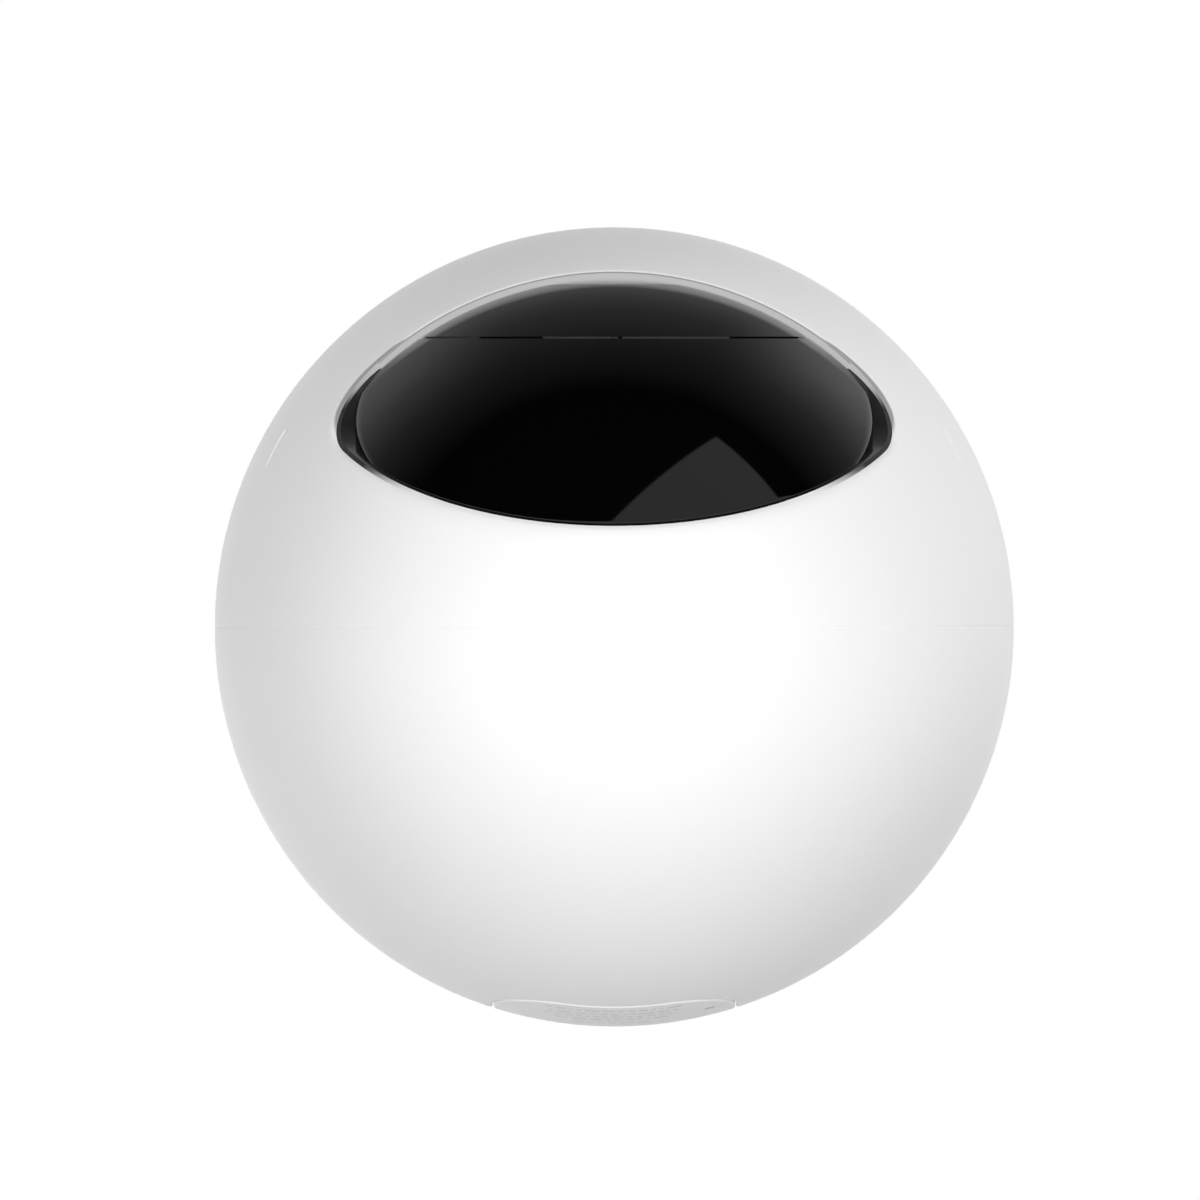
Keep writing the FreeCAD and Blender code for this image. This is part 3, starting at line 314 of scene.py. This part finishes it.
def onto_rim(p, radius, outline):
    """Nearest points to p that lie on both the sphere and the outline."""
    seen_from_below = isinstance(outline, RoundedSquare)
    third = np.array([0.0, 0.0, 1.0] if seen_from_below else [1.0, 0.0, 0.0])
    for _ in range(RIM_ROUNDS):
        gap, away = outline.distance(p)
        p = p - away * gap[:, None]
        along = np.cross(away, third)
        rate_a = 2 * (p * along).sum(axis=1)
        rate_t = 2 * p @ third
        error = (p * p).sum(axis=1) - radius * radius
        step = -error / np.maximum(TINY, rate_a**2 + rate_t**2)
        p = p + along * (rate_a * step)[:, None] + third * (rate_t * step)[:, None]
    return p


def shaded(name, points, faces, outer_faces, outer_normals, wall, edge_grey):
    """Mesh object with the given normals on its ball faces and its own, smoothed, elsewhere.

    The wall's faces take the second material. The mesh carries two attributes that the materials
    read: the painted light along an eased edge, and the wall's colour with its painted shade.
    """
    mesh = bpy.data.meshes.new(name)
    mesh.from_pydata(points.tolist(), [], faces.tolist())
    mesh.shade_smooth()
    mesh.set_sharp_from_angle(angle=SHARP_ANGLE)
    corners = np.zeros(len(mesh.loops) * 3, np.float32)
    mesh.corner_normals.foreach_get("vector", corners)
    corners = corners.reshape(-1, 3, 3)
    corners[outer_faces] = outer_normals[faces[outer_faces]]
    mesh.normals_split_custom_set(corners.reshape(-1, 3).tolist())
    mesh.polygons.foreach_set("material_index", wall.astype(np.int32))
    wall_tone = by_height(points[:, 2] / MM, WALL_COLOUR_AND_SHADE)
    for key, values in (("edge_grey", edge_grey), ("wall_tone", wall_tone)):
        mesh.attributes.new(key, "FLOAT", "POINT").data.foreach_set("value", values)
    obj = bpy.data.objects.new(name, mesh)
    bpy.context.scene.collection.objects.link(obj)
    return obj


def skin(node, name, outline, side, radius, fall, width, near_share, grey=NO_EDGE_LIGHT):
    """Finer copy of a CAD skin with true sphere normals and eased edges.

    outline is the shape whose edge is eased, and the skin lies outside it if side is 1 or inside
    it if side is -1. fall says how far the sphere falls away beside the outline. Edges there are
    near_share of the eased width long, and grow to LONGEST_EDGE elsewhere. grey is the table of
    how far the eased edge takes painted light: painted shade on the shell's lip, a painted
    reflection on the windows' edge.
    """
    points, faces = welded(node)
    corners = points[faces]
    normal = unit(np.cross(corners[:, 1] - corners[:, 0], corners[:, 2] - corners[:, 0]))
    middle = unit(corners.mean(axis=1))
    off_ball = np.abs(np.linalg.norm(corners, axis=2) - radius).max(axis=1)
    faces_out = (normal * middle).sum(axis=1) > FACES_OUT
    kind = np.where((off_ball < ON_BALL) & faces_out, OUTER, PLAIN)
    gaps = np.abs(outline.distance(points)[0])
    kind[(kind == PLAIN) & (gaps[faces].max(axis=1) < ON_OUTLINE)] = EDGE

    def settled(points):
        """The points put exactly onto the ball and its rim, and which of them are on the ball."""
        outer = np.zeros(len(points), bool)
        outer[faces[kind == OUTER]] = True
        rim = np.zeros(len(points), bool)
        rim[faces[kind == EDGE]] = True
        rim &= outer
        points = points.copy()
        points[rim] = onto_rim(points[rim], radius, outline)
        points[outer] = unit(points[outer]) * radius
        return points, outer

    def wanted(a, middles, b):
        """How long an edge may be, from its two ends and its middle."""
        gap = np.min([np.abs(outline.distance(p)[0]) for p in (a, middles, b)], axis=0)
        band = width(middles)
        near = np.maximum(SHORTEST_EDGE, band * near_share)
        return np.minimum(LONGEST_EDGE, near + EDGE_GROWTH * np.maximum(0.0, gap - band))

    for _ in range(MOST_ROUNDS):
        points, outer = settled(points)
        points, faces, kind, count = split_long(points, faces, kind, wanted)
        if count == 0:
            break
    points, outer = settled(points)
    gap, away = outline.distance(points)
    drop, rate = fall(points, gap * side)
    up = unit(points)
    from_edge = away * side
    across = from_edge - up * (from_edge * up).sum(axis=1)[:, None]
    true_normals = unit(up + rate[:, None] * across)
    points[outer] = up[outer] * (radius - drop[outer])[:, None]
    reach = np.linalg.norm(points, axis=1)
    at_middle = np.abs(points[:, 2]) < ON_LEVEL
    groove = at_middle & (np.abs(reach - GROOVE_BOTTOM_R) < ON_OUTLINE)
    points[groove] *= GROOVE_SHOWN_R / GROOVE_BOTTOM_R
    if outline is NOTCH:
        on_liner = np.abs(reach - LINER_R) < ON_LEVEL
        foot = on_liner & (np.abs(gap) < ON_OUTLINE) & ~outer
        points[foot] = up[foot] * liner_reach(points[foot])[:, None]
    wall = (kind == EDGE) & (outline is NOTCH)
    nearness = np.clip(1.0 - np.abs(gap) / width(points), 0.0, 1.0)
    # painted light along the eased edge, strongest at the edge itself
    edge_grey = nearness * by_height(points[:, 2], grey)
    obj = shaded(name, points * MM, faces, kind == OUTER, true_normals, wall, edge_grey)
    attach(obj, obj_body(node))
    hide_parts(node)


def liner_reach(points):
    """Radius of the liner's outer edge, between the window's surface and the shell's lip."""
    under_lip = BALL_R - by_height(points[:, 2], LIP_DEPTH) - LIP_SHOWN
    return VISOR_R + (under_lip - VISOR_R) * by_height(points[:, 2], LINER_SHOWN)


def obj_body(node):
    return nodes[node]["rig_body"]


SLOT_OF = {part["node"]: part["material_slot"] for part in frame["record"]["subparts"]}

skin("upper_shell", "upper_skin", NOTCH, 1, BALL_R, shell_fall, lip_width, 0.17, LIP_SHADE)
skin("lower_shell", "lower_skin", HATCH_HOLE, 1, BALL_R, hatch_fall, hatch_edge_width, 0.4)
skin("hatch_cover", "hatch_skin", HATCH, -1, BALL_R, hatch_fall, hatch_edge_width, 0.4)
skin("visor_bezel", "liner", NOTCH, 1, LINER_R, liner_fall, lip_width, 0.4)
for node, name in (("visor_window", "main_window"), ("sensor_window", "upper_window")):
    skin(node, name, VISOR, -1, VISOR_R, visor_fall, visor_edge_width, 0.14, VISOR_REFLECTION)


# --- materials ---------------------------------------------------------------------------------
NOISE_DETAIL = 3.0
CLOUDS = (0.35, 0.65)         # noise between these values turns one colour into the other


class Finish:
    """A principled material whose inputs can be driven by noise in the object's own space."""

    def __init__(self, name, colour, roughness, metallic=0.0, **inputs):
        self.material = bpy.data.materials.new(name)
        self.material.use_nodes = True
        self.tree = self.material.node_tree
        self.shader = self.tree.nodes["Principled BSDF"]
        self.material.diffuse_color = (*colour, 1.0)
        self.set("Base Color", (*colour, 1.0))
        self.set("Roughness", roughness)
        self.set("Metallic", metallic)
        for key, value in inputs.items():
            self.set(key.replace("_", " "), value)

    def set(self, socket, value):
        self.shader.inputs[socket].default_value = value

    def node(self, kind, **settings):
        """New node; each setting is one of its inputs or else one of its properties."""
        made = self.tree.nodes.new(kind)
        for key, value in settings.items():
            if key in made.inputs:
                made.inputs[key].default_value = value
            else:
                setattr(made, key, value)
        return made

    def link(self, source, target):
        self.tree.links.new(source, target)

    def texture(self, kind, output, **settings):
        made = self.node(kind, **settings)
        self.link(self.node("ShaderNodeTexCoord").outputs["Object"], made.inputs["Vector"])
        return made.outputs[output]

    def noise(self, scale):
        return self.texture("ShaderNodeTexNoise", "Fac", Scale=scale, Detail=NOISE_DETAIL)

    def cells(self, scale):
        return self.texture("ShaderNodeTexVoronoi", "Distance", feature="DISTANCE_TO_EDGE",
                            Scale=scale)

    def attribute(self, name):
        return self.node("ShaderNodeAttribute", attribute_name=name).outputs["Fac"]

    def mottle(self, scale, low, high):
        """Roughness that wanders between two values."""
        spread = self.node("ShaderNodeMapRange")
        spread.inputs["To Min"].default_value = low
        spread.inputs["To Max"].default_value = high
        self.link(self.noise(scale), spread.inputs["Value"])
        self.link(spread.outputs["Result"], self.shader.inputs["Roughness"])
        return self

    def relief(self, source, distance):
        """Relief that follows source, distance metres high."""
        bump = self.node("ShaderNodeBump", Strength=1.0, Distance=distance)
        self.link(source, bump.inputs["Height"])
        self.link(bump.outputs["Normal"], self.shader.inputs["Normal"])
        return self

    def grain(self, scale, distance):
        return self.relief(self.noise(scale), distance)

    def blend(self, source, other, low, high):
        """Base colour that turns to another one as source rises from low to high."""
        ramp = self.node("ShaderNodeMapRange")
        ramp.inputs["From Min"].default_value = low
        ramp.inputs["From Max"].default_value = high
        self.link(source, ramp.inputs["Value"])
        mix = self.node("ShaderNodeMix", data_type="RGBA")
        mix.inputs["A"].default_value = tuple(self.shader.inputs["Base Color"].default_value)
        mix.inputs["B"].default_value = (*other, 1.0)
        self.link(ramp.outputs["Result"], mix.inputs["Factor"])
        self.link(mix.outputs["Result"], self.shader.inputs["Base Color"])
        return self

    def tint(self, scale, other):
        """Base colour with clouds of another one."""
        return self.blend(self.noise(scale), other, *CLOUDS)

    def paint_edge_light(self, other, low, high):
        """Base colour that turns to another one where the mesh's edge attribute rises: painted
        shade on a shell's lip, a painted reflection on a window's edge.
        """
        return self.blend(self.attribute("edge_grey"), other, low, high)


def make_finishes():
    """All materials of the camera, by name; the frame's own slots bear the same names."""
    for old in list(bpy.data.materials):
        bpy.data.materials.remove(old)
    white = Finish("shell_white", (0.86, 0.86, 0.865), 0.42, IOR=1.5)
    # painted shade: the shell's lip turns grey where it turns away from the light
    white.mottle(180.0, 0.38, 0.46).grain(9000.0, 2.0e-6).paint_edge_light((0.3, 0.3, 0.305), 0.35, 0.6)
    window = Finish("smoked_window", (0.001, 0.001, 0.0012), 0.04, IOR=1.52)
    # painted reflection: the windows' rounded edge turns grey where it catches the light
    window.mottle(60.0, 0.03, 0.05).paint_edge_light((0.4, 0.4, 0.405), 0.1, 1.1)
    liner = Finish("gloss_black", (0.016, 0.016, 0.017), 0.12, IOR=1.5)
    liner.mottle(150.0, 0.1, 0.16)
    rubber = Finish("black_rubber", (0.02, 0.02, 0.02), 0.75).grain(3000.0, 6.0e-6)
    pipe = Finish("clear_pipe", (0.03, 0.03, 0.033), 0.15, IOR=1.49).mottle(400.0, 0.1, 0.2)
    board = Finish("green_board", (0.012, 0.09, 0.045), 0.35)
    board.blend(board.cells(700.0), (0.03, 0.17, 0.08), 0.0, 0.06).grain(2500.0, 4.0e-6)
    chip = Finish("chip_black", (0.02, 0.02, 0.022), 0.6)
    chip.grain(9000.0, 4.0e-6).mottle(500.0, 0.5, 0.7)
    emitter = Finish("status_emitter", (0.8, 0.8, 0.62), 0.3, Coat_Weight=0.5)
    emitter.mottle(900.0, 0.2, 0.4)
    mesh_black = Finish("mesh_black", (0.015, 0.015, 0.016), 0.8)
    mesh_black.relief(mesh_black.cells(3500.0), 3.0e-5)
    well = Finish("well_white", (0.8, 0.8, 0.8), 0.5)
    well.mottle(200.0, 0.45, 0.6).grain(6000.0, 3.0e-6)
    card = Finish("card_black", (0.018, 0.018, 0.02), 0.45)
    card.mottle(300.0, 0.35, 0.55).grain(8000.0, 2.0e-6)
    steel = Finish("steel", (0.62, 0.62, 0.63), 0.3, metallic=1.0)
    steel.mottle(400.0, 0.22, 0.4).grain(5000.0, 2.0e-6)
    button = Finish("button_grey", (0.3, 0.3, 0.31), 0.5)
    button.mottle(300.0, 0.4, 0.6).grain(7000.0, 3.0e-6)
    brass = Finish("brass", (0.72, 0.5, 0.2), 0.28, metallic=1.0).mottle(500.0, 0.2, 0.38)
    basket = Finish("speaker_black", (0.02, 0.02, 0.02), 0.55).grain(6000.0, 4.0e-6)
    paper = Finish("cone_paper", (0.03, 0.03, 0.032), 0.85).grain(2500.0, 2.0e-5)
    paper.tint(1200.0, (0.06, 0.058, 0.055))
    grey = Finish("frame_grey", (0.07, 0.07, 0.075), 0.6)
    grey.grain(5000.0, 5.0e-6).mottle(300.0, 0.5, 0.7)
    sink = Finish("heatsink_aluminium", (0.7, 0.71, 0.72), 0.38, metallic=1.0)
    sink.mottle(700.0, 0.3, 0.45)
    aerial = Finish("aerial_film", (0.4, 0.19, 0.04), 0.35, Coat_Weight=0.3)
    aerial.tint(300.0, (0.5, 0.27, 0.09))
    acetal = Finish("gear_white", (0.78, 0.76, 0.68), 0.35, Subsurface_Weight=0.05)
    acetal.mottle(300.0, 0.3, 0.45).grain(5000.0, 2.0e-6)
    head = Finish("head_black", (0.012, 0.012, 0.013), 0.5)
    head.grain(7000.0, 5.0e-6).mottle(300.0, 0.42, 0.6)
    metal = Finish("lens_metal", (0.03, 0.03, 0.032), 0.35, metallic=0.8)
    metal.mottle(600.0, 0.28, 0.42)
    glass = Finish("lens_glass", (0.02, 0.025, 0.05), 0.03, IOR=1.6, Coat_Weight=0.6)
    glass.tint(90.0, (0.03, 0.012, 0.05)).mottle(80.0, 0.02, 0.05)
    infrared = Finish("infrared_lens", (0.04, 0.012, 0.02), 0.12, IOR=1.55)
    infrared.mottle(500.0, 0.08, 0.16)
    mark = Finish("rim_grey", (0.4, 0.4, 0.405), 0.5)
    mark.mottle(180.0, 0.4, 0.5).grain(9000.0, 2.0e-6)
    wall = Finish("notch_wall", (0.4, 0.4, 0.4), 0.45)
    wall.mottle(180.0, 0.4, 0.5).grain(9000.0, 2.0e-6)
    # painted shade: the face takes the mesh's colour, grey where the white plastic is in the shade
    wall.link(wall.attribute("wall_tone"), wall.shader.inputs["Base Color"])
    # painted shade: grey of the shadow in the joint under the lip
    shadow = Finish("rim_shadow", (0.25, 0.25, 0.25), 0.8).mottle(300.0, 0.7, 0.9)
    ink = Finish("print_grey", (0.72, 0.72, 0.725), 0.5).mottle(500.0, 0.45, 0.6)
    joint = Finish("seam_black", (0.002, 0.002, 0.002), 0.9, IOR=1.2).mottle(300.0, 0.85, 0.95)
    # the joint's faint end, and a painted reflection along its middle
    fill = Finish("seam_grey", (0.06, 0.06, 0.06), 0.7, IOR=1.3).mottle(300.0, 0.6, 0.8)
    made = (mark, wall, shadow, ink, joint, fill, white, window, liner, rubber, pipe, board, chip,
            emitter, mesh_black, well, card, steel, button, brass, basket, paper, grey, sink,
            aerial, acetal, head, metal, glass, infrared)
    return {f.material.name: f.material for f in made}


FINISHES = make_finishes()


def paint(obj, *finishes):
    """Replaces the object's materials.

    Clearing resets which material each face has, so a mesh without materials isn't cleared.
    """
    if obj.data.materials:
        obj.data.materials.clear()
    for finish in finishes:
        obj.data.materials.append(FINISHES[finish])


for node, slot in SLOT_OF.items():
    paint(nodes[node], slot)
# a second finish is for the faces along the notch
for name, *finishes in (("upper_skin", "shell_white", "notch_wall"), ("lower_skin", "shell_white"),
                        ("hatch_skin", "shell_white"), ("main_window", "smoked_window"),
                        ("upper_window", "smoked_window"), ("liner", "gloss_black", "gloss_black")):
    paint(bpy.data.objects[name], *finishes)


# --- fine lines and print ------------------------------------------------------------------------
RIM_GAP = 0.12                # height of the dark line of painted shade over the notch's upright face ...
RIM_INSET = 0.02              # ... how far below the shell's surface it starts ...
RIM_GAP_LOW_Z = 33.2          # ... and how far down it runs
RIM_LINE_Y = -22.715          # just in front of that face
RIM_STEPS = 160
PRINT_R = 50.006              # just outside the ball
PRINT_ROW_H = 0.55
PRINT_ROWS = [(-13.5, -8.6, 9.4), (-12.1, -8.2, 9.2), (-10.7, -8.7, 9.3), (-9.1, -7.4, 7.8),
              (-6.9, -5.2, 5.6)]           # y, and x from and to, of each row
PRINT_BARS = [0.9, 1.5, 0.5, 1.1, 0.7, 1.9, 0.6]     # lengths of bars
PRINT_SPACE = 0.45            # between two bars
PRINT_STEPS = 3               # quads in a bar
MOST_BARS = 40                # more than fit in a row
BAR_STRIDE, ROW_STRIDE = 3, 2     # steps through PRINT_BARS, so that the rows differ
SMALL_MARK = (-9.2, 11.3, 12.6)   # y, and x from and to
SEAM_Z = 36.2                 # the joint between the two windows
SEAM_FILL_H = 0.24
SEAM_STEPS = 24
SEAM_FILLS = [                # name, x from and to, radius and finish
    ("seam_black", -16.8, 23.0, 49.0, "seam_black"),
    ("seam_grey_end", -23.6, -16.8, 49.0, "seam_grey"),
    # painted reflection: the joint's slanted edge catching light along the next two lengths
    ("seam_grey_left", -8.9, 0.2, 49.05, "seam_grey"),
    ("seam_grey_right", 1.0, 14.4, 49.05, "seam_grey"),
]


def ribbon_quads(steps):
    """Quads between the pairs of points of a ribbon."""
    return [(2 * i, 2 * i + 1, 2 * i + 3, 2 * i + 2) for i in range(steps)]


def plain_piece(name, points, quads, body, finish):
    """Piece of the looks alone, from points in millimetres."""
    mesh = bpy.data.meshes.new(name)
    mesh.from_pydata([tuple(c * MM for c in p) for p in points], [], quads)
    mesh.shade_smooth()
    obj = bpy.data.objects.new(name, mesh)
    bpy.context.scene.collection.objects.link(obj)
    paint(obj, finish)
    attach(obj, body)


def rim_line():
    """Thin dark joint under the lip, along the notch's upright face, drawn as a grey ribbon of
    painted shade.
    """
    circle = math.sqrt(BALL_R**2 - RIM_LINE_Y**2)
    reach = math.acos(RIM_GAP_LOW_Z / circle)
    points = []
    for i in range(RIM_STEPS + 1):
        a = reach * (2 * i / RIM_STEPS - 1)
        lip = BALL_R - float(by_height(circle * math.cos(a), LIP_DEPTH))
        for r in (lip - RIM_INSET, lip - (RIM_INSET + RIM_GAP)):
            rho = math.sqrt(r * r - RIM_LINE_Y**2)
            points.append((rho * math.sin(a), RIM_LINE_Y, rho * math.cos(a)))
    quads = ribbon_quads(RIM_STEPS)
    plain_piece("rim_line", points, quads, "casing", "rim_shadow")


def print_bar(x, x_end, y):
    """Points and quads of a bar printed on the ball's underside."""
    points = []
    for i in range(PRINT_STEPS + 1):
        at = x + (x_end - x) * i / PRINT_STEPS
        for edge in (y - PRINT_ROW_H / 2, y + PRINT_ROW_H / 2):
            points.append((at, edge, -math.sqrt(PRINT_R**2 - at * at - edge * edge)))
    return points, ribbon_quads(PRINT_STEPS)


def hatch_print():
    """Rows of plain short bars in place of the small print behind the hatch's front edge."""
    points, quads = [], []
    for row, (y, low, high) in enumerate(PRINT_ROWS):
        x = low
        for turn in range(MOST_BARS):
            which = (turn * BAR_STRIDE + row * ROW_STRIDE) % len(PRINT_BARS)
            x_end = x + PRINT_BARS[which]
            if x_end > high:
                break
            bar_points, bar_quads = print_bar(x, x_end, y)
            quads += [tuple(len(points) + corner for corner in quad) for quad in bar_quads]
            points += bar_points
            x = x_end + PRINT_SPACE
    plain_piece("hatch_print", points, quads, "hatch", "print_grey")
    mark_y, mark_x, mark_end = SMALL_MARK
    points, quads = print_bar(mark_x, mark_end, mark_y)
    plain_piece("hatch_mark", points, quads, "hatch", "rim_grey")


def seam_line():
    """What shows in the joint between the two windows: black, with three dark grey lengths. The
    two in the middle are a painted reflection off the joint's slanted edge.
    """
    low, high = SEAM_Z - SEAM_FILL_H / 2, SEAM_Z + SEAM_FILL_H / 2
    quads = ribbon_quads(SEAM_STEPS)
    body = obj_body("visor_window")
    for name, x_from, x_to, r, finish in SEAM_FILLS:
        points = []
        for i in range(SEAM_STEPS + 1):
            x = x_from + (x_to - x_from) * i / SEAM_STEPS
            points += [(x, -math.sqrt(r * r - z * z - x * x), z) for z in (low, high)]
        plain_piece(name, points, quads, body, finish)


rim_line()
seam_line()
hatch_print()


# --- studio ------------------------------------------------------------------------------------
SUNS = [                      # name, azimuth, elevation, strength and spread; angles in degrees
    ("left_key", -20.0, -10.0, 1.6, 40.0),
    ("right_key", 20.0, -10.0, 1.48, 40.0),
    ("high_key", 10.0, 45.0, 1.27, 40.0),
    ("back_left", -150.0, 0.0, 2.41, 60.0),
    ("back_right", 130.0, 15.0, 1.69, 60.0),
]
SUN_AWAY = 0.5                # where a sun stands doesn't change its light


def sun(name, azimuth, elevation, strength, spread):
    """Soft light from a direction: azimuth 0 is the front, positive to the right."""
    data = bpy.data.lights.new(name, "SUN")
    data.energy = strength
    data.angle = math.radians(spread)
    obj = bpy.data.objects.new(name, data)
    a, e = math.radians(azimuth), math.radians(elevation)
    towards = Vector((math.sin(a) * math.cos(e), -math.cos(a) * math.cos(e), math.sin(e)))
    obj.rotation_euler = towards.to_track_quat("Z", "Y").to_euler()
    obj.location = towards * SUN_AWAY
    obj.visible_glossy = False
    bpy.context.scene.collection.objects.link(obj)


# what reflections see of the studio: (how far the direction points to the back, radiance)
OVERHEAD = [(-0.26, 0.0), (-0.13, 0.07), (0.0, 0.12), (0.156, 0.2), (0.31, 0.28), (0.4, 0.38),
            (0.5, 0.55), (0.643, 0.92), (1.0, 1.0)]
AT_THE_SIDES = [(-0.28, 0.0), (-0.1, 0.09), (0.06, 0.21), (0.25, 0.47), (0.35, 0.64), (0.43, 0.73),
                (1.0, 0.9)]
SIDE_FROM, SIDE_TO = 0.3, 0.65    # how far sideways a direction points where the sides take over
RIGHT_FROM, RIGHT_TO = 0.1, 0.5   # the same for the right side, which is brighter ...
RIGHT_GAIN = 1.35                 # ... by this much
# directions of the soft box that the windows reflect: it lies below its top corner, between the
# edges that run from there to the left and to the right one, and has no lower edge
SOFTBOX_TOP = (0.433, -0.398, 0.807)
SOFTBOX_LEFT = (-0.03, -0.866, 0.5)
SOFTBOX_RIGHT = (0.719, -0.438, 0.539)
SOFTBOX_RADIANCE = 0.54
SOFTBOX_BLUR = 0.006
# light that the pale floor throws up: full where a direction points down by the first number,
# and none where it points up by the second
BOUNCE = 0.15
BOUNCE_FULL, BOUNCE_NONE = -0.5, 0.15
FLOOR_GLOW = 0.6
FLOOR_HALF = 3.0
CAMERA_AT = (-0.001786, -0.5, 0.003362)
CAMERA_WIDTH = 0.15015            # of what it sees, as it has no perspective
CAMERA_REACH = 10.0


def build_world():
    """White behind the camera's view, shaped for reflections, and a bounce from below."""
    world = bpy.data.worlds.new("studio")
    bpy.context.scene.world = world
    world.use_nodes = True
    tree = world.node_tree
    tree.nodes.clear()

    def node(kind, **settings):
        made = tree.nodes.new(kind)
        for key, value in settings.items():
            setattr(made, key, value)
        return made

    def math_node(operation, a, b):
        made = node("ShaderNodeMath", operation=operation)
        for i, value in enumerate((a, b)):
            if isinstance(value, float):
                made.inputs[i].default_value = value
            else:
                tree.links.new(value, made.inputs[i])
        return made.outputs[0]

    place = node("ShaderNodeTexCoord").outputs["Generated"]
    split = node("ShaderNodeSeparateXYZ")
    tree.links.new(place, split.inputs[0])
    back = math_node("MULTIPLY_ADD", split.outputs["Y"], 0.5)
    back.node.inputs[2].default_value = 0.5

    def ramp(table):
        made = node("ShaderNodeValToRGB")
        tree.links.new(back, made.inputs["Fac"])
        stops = made.color_ramp.elements
        for y, _ in table[1:-1]:
            stops.new((y + 1) / 2)
        for stop, (y, value) in zip(stops, table):
            stop.position = (y + 1) / 2
            stop.color = (value, value, value, 1.0)
        return made.outputs["Color"]

    def rise(value, low, high, bottom=0.0, top=1.0):
        made = node("ShaderNodeMapRange", interpolation_type="SMOOTHSTEP")
        limits = (("From Min", low), ("From Max", high), ("To Min", bottom), ("To Max", top))
        for name, number in limits:
            made.inputs[name].default_value = number
        tree.links.new(value, made.inputs["Value"])
        return made.outputs["Result"]

    sideways = rise(math_node("ABSOLUTE", split.outputs["X"], 0.0), SIDE_FROM, SIDE_TO)
    right = rise(split.outputs["X"], RIGHT_FROM, RIGHT_TO, 1.0, RIGHT_GAIN)
    side_light = math_node("MULTIPLY", ramp(AT_THE_SIDES), right)
    difference = math_node("SUBTRACT", side_light, ramp(OVERHEAD))
    surround = math_node("MULTIPLY_ADD", difference, sideways)
    tree.links.new(ramp(OVERHEAD), surround.node.inputs[2])

    corners = [Vector(c) for c in (SOFTBOX_TOP, SOFTBOX_LEFT, SOFTBOX_RIGHT)]
    inside = SOFTBOX_RADIANCE
    for start, end in ((0, 1), (2, 0)):
        plane = corners[start].cross(corners[end]).normalized()
        if plane.dot(sum(corners, Vector())) < 0:
            plane.negate()
        dot = node("ShaderNodeVectorMath", operation="DOT_PRODUCT")
        tree.links.new(place, dot.inputs[0])
        dot.inputs[1].default_value = plane
        edge = rise(dot.outputs["Value"], -SOFTBOX_BLUR, SOFTBOX_BLUR)
        inside = math_node("MULTIPLY", edge, inside)
    total = math_node("ADD", surround, inside)
    path = node("ShaderNodeLightPath")
    total = math_node("MULTIPLY", total, path.outputs["Is Glossy Ray"])
    below = rise(split.outputs["Z"], BOUNCE_FULL, BOUNCE_NONE, BOUNCE, 0.0)
    ambient = math_node("MULTIPLY", path.outputs["Is Diffuse Ray"], below)
    total = math_node("ADD", total, ambient)

    shaped = node("ShaderNodeBackground")
    tree.links.new(total, shaped.inputs["Color"])
    plain = node("ShaderNodeBackground")
    plain.inputs["Color"].default_value = (1.0, 1.0, 1.0, 1.0)
    mix = node("ShaderNodeMixShader")
    tree.links.new(path.outputs["Is Camera Ray"], mix.inputs["Fac"])
    tree.links.new(shaped.outputs[0], mix.inputs[1])
    tree.links.new(plain.outputs[0], mix.inputs[2])
    tree.links.new(mix.outputs[0], node("ShaderNodeOutputWorld").inputs["Surface"])


def build_floor():
    mesh = bpy.data.meshes.new("floor")
    half = FLOOR_HALF
    z = -BALL_R * MM
    corners = [(-half, -half, z), (half, -half, z), (half, half, z), (-half, half, z)]
    mesh.from_pydata(corners, [], [(0, 1, 2, 3)])
    obj = bpy.data.objects.new("floor", mesh)
    bpy.context.scene.collection.objects.link(obj)
    pale = Finish("floor_white", (0.85, 0.85, 0.85), 0.7, Emission_Color=(1.0, 1.0, 1.0, 1.0),
                  Emission_Strength=FLOOR_GLOW).mottle(20.0, 0.65, 0.75)
    obj.data.materials.append(pale.material)
    obj.visible_shadow = False
    obj.visible_diffuse = False


def build_camera():
    data = bpy.data.cameras.new("camera")
    data.type = "ORTHO"
    data.ortho_scale = CAMERA_WIDTH
    data.clip_end = CAMERA_REACH
    obj = bpy.data.objects.new("camera", data)
    obj.location = CAMERA_AT
    obj.rotation_euler = (math.pi / 2, 0.0, 0.0)
    bpy.context.scene.collection.objects.link(obj)
    bpy.context.scene.camera = obj


build_world()
build_floor()
build_camera()
for row in SUNS:
    sun(*row)
bpy.context.scene.view_settings.view_transform = "Standard"
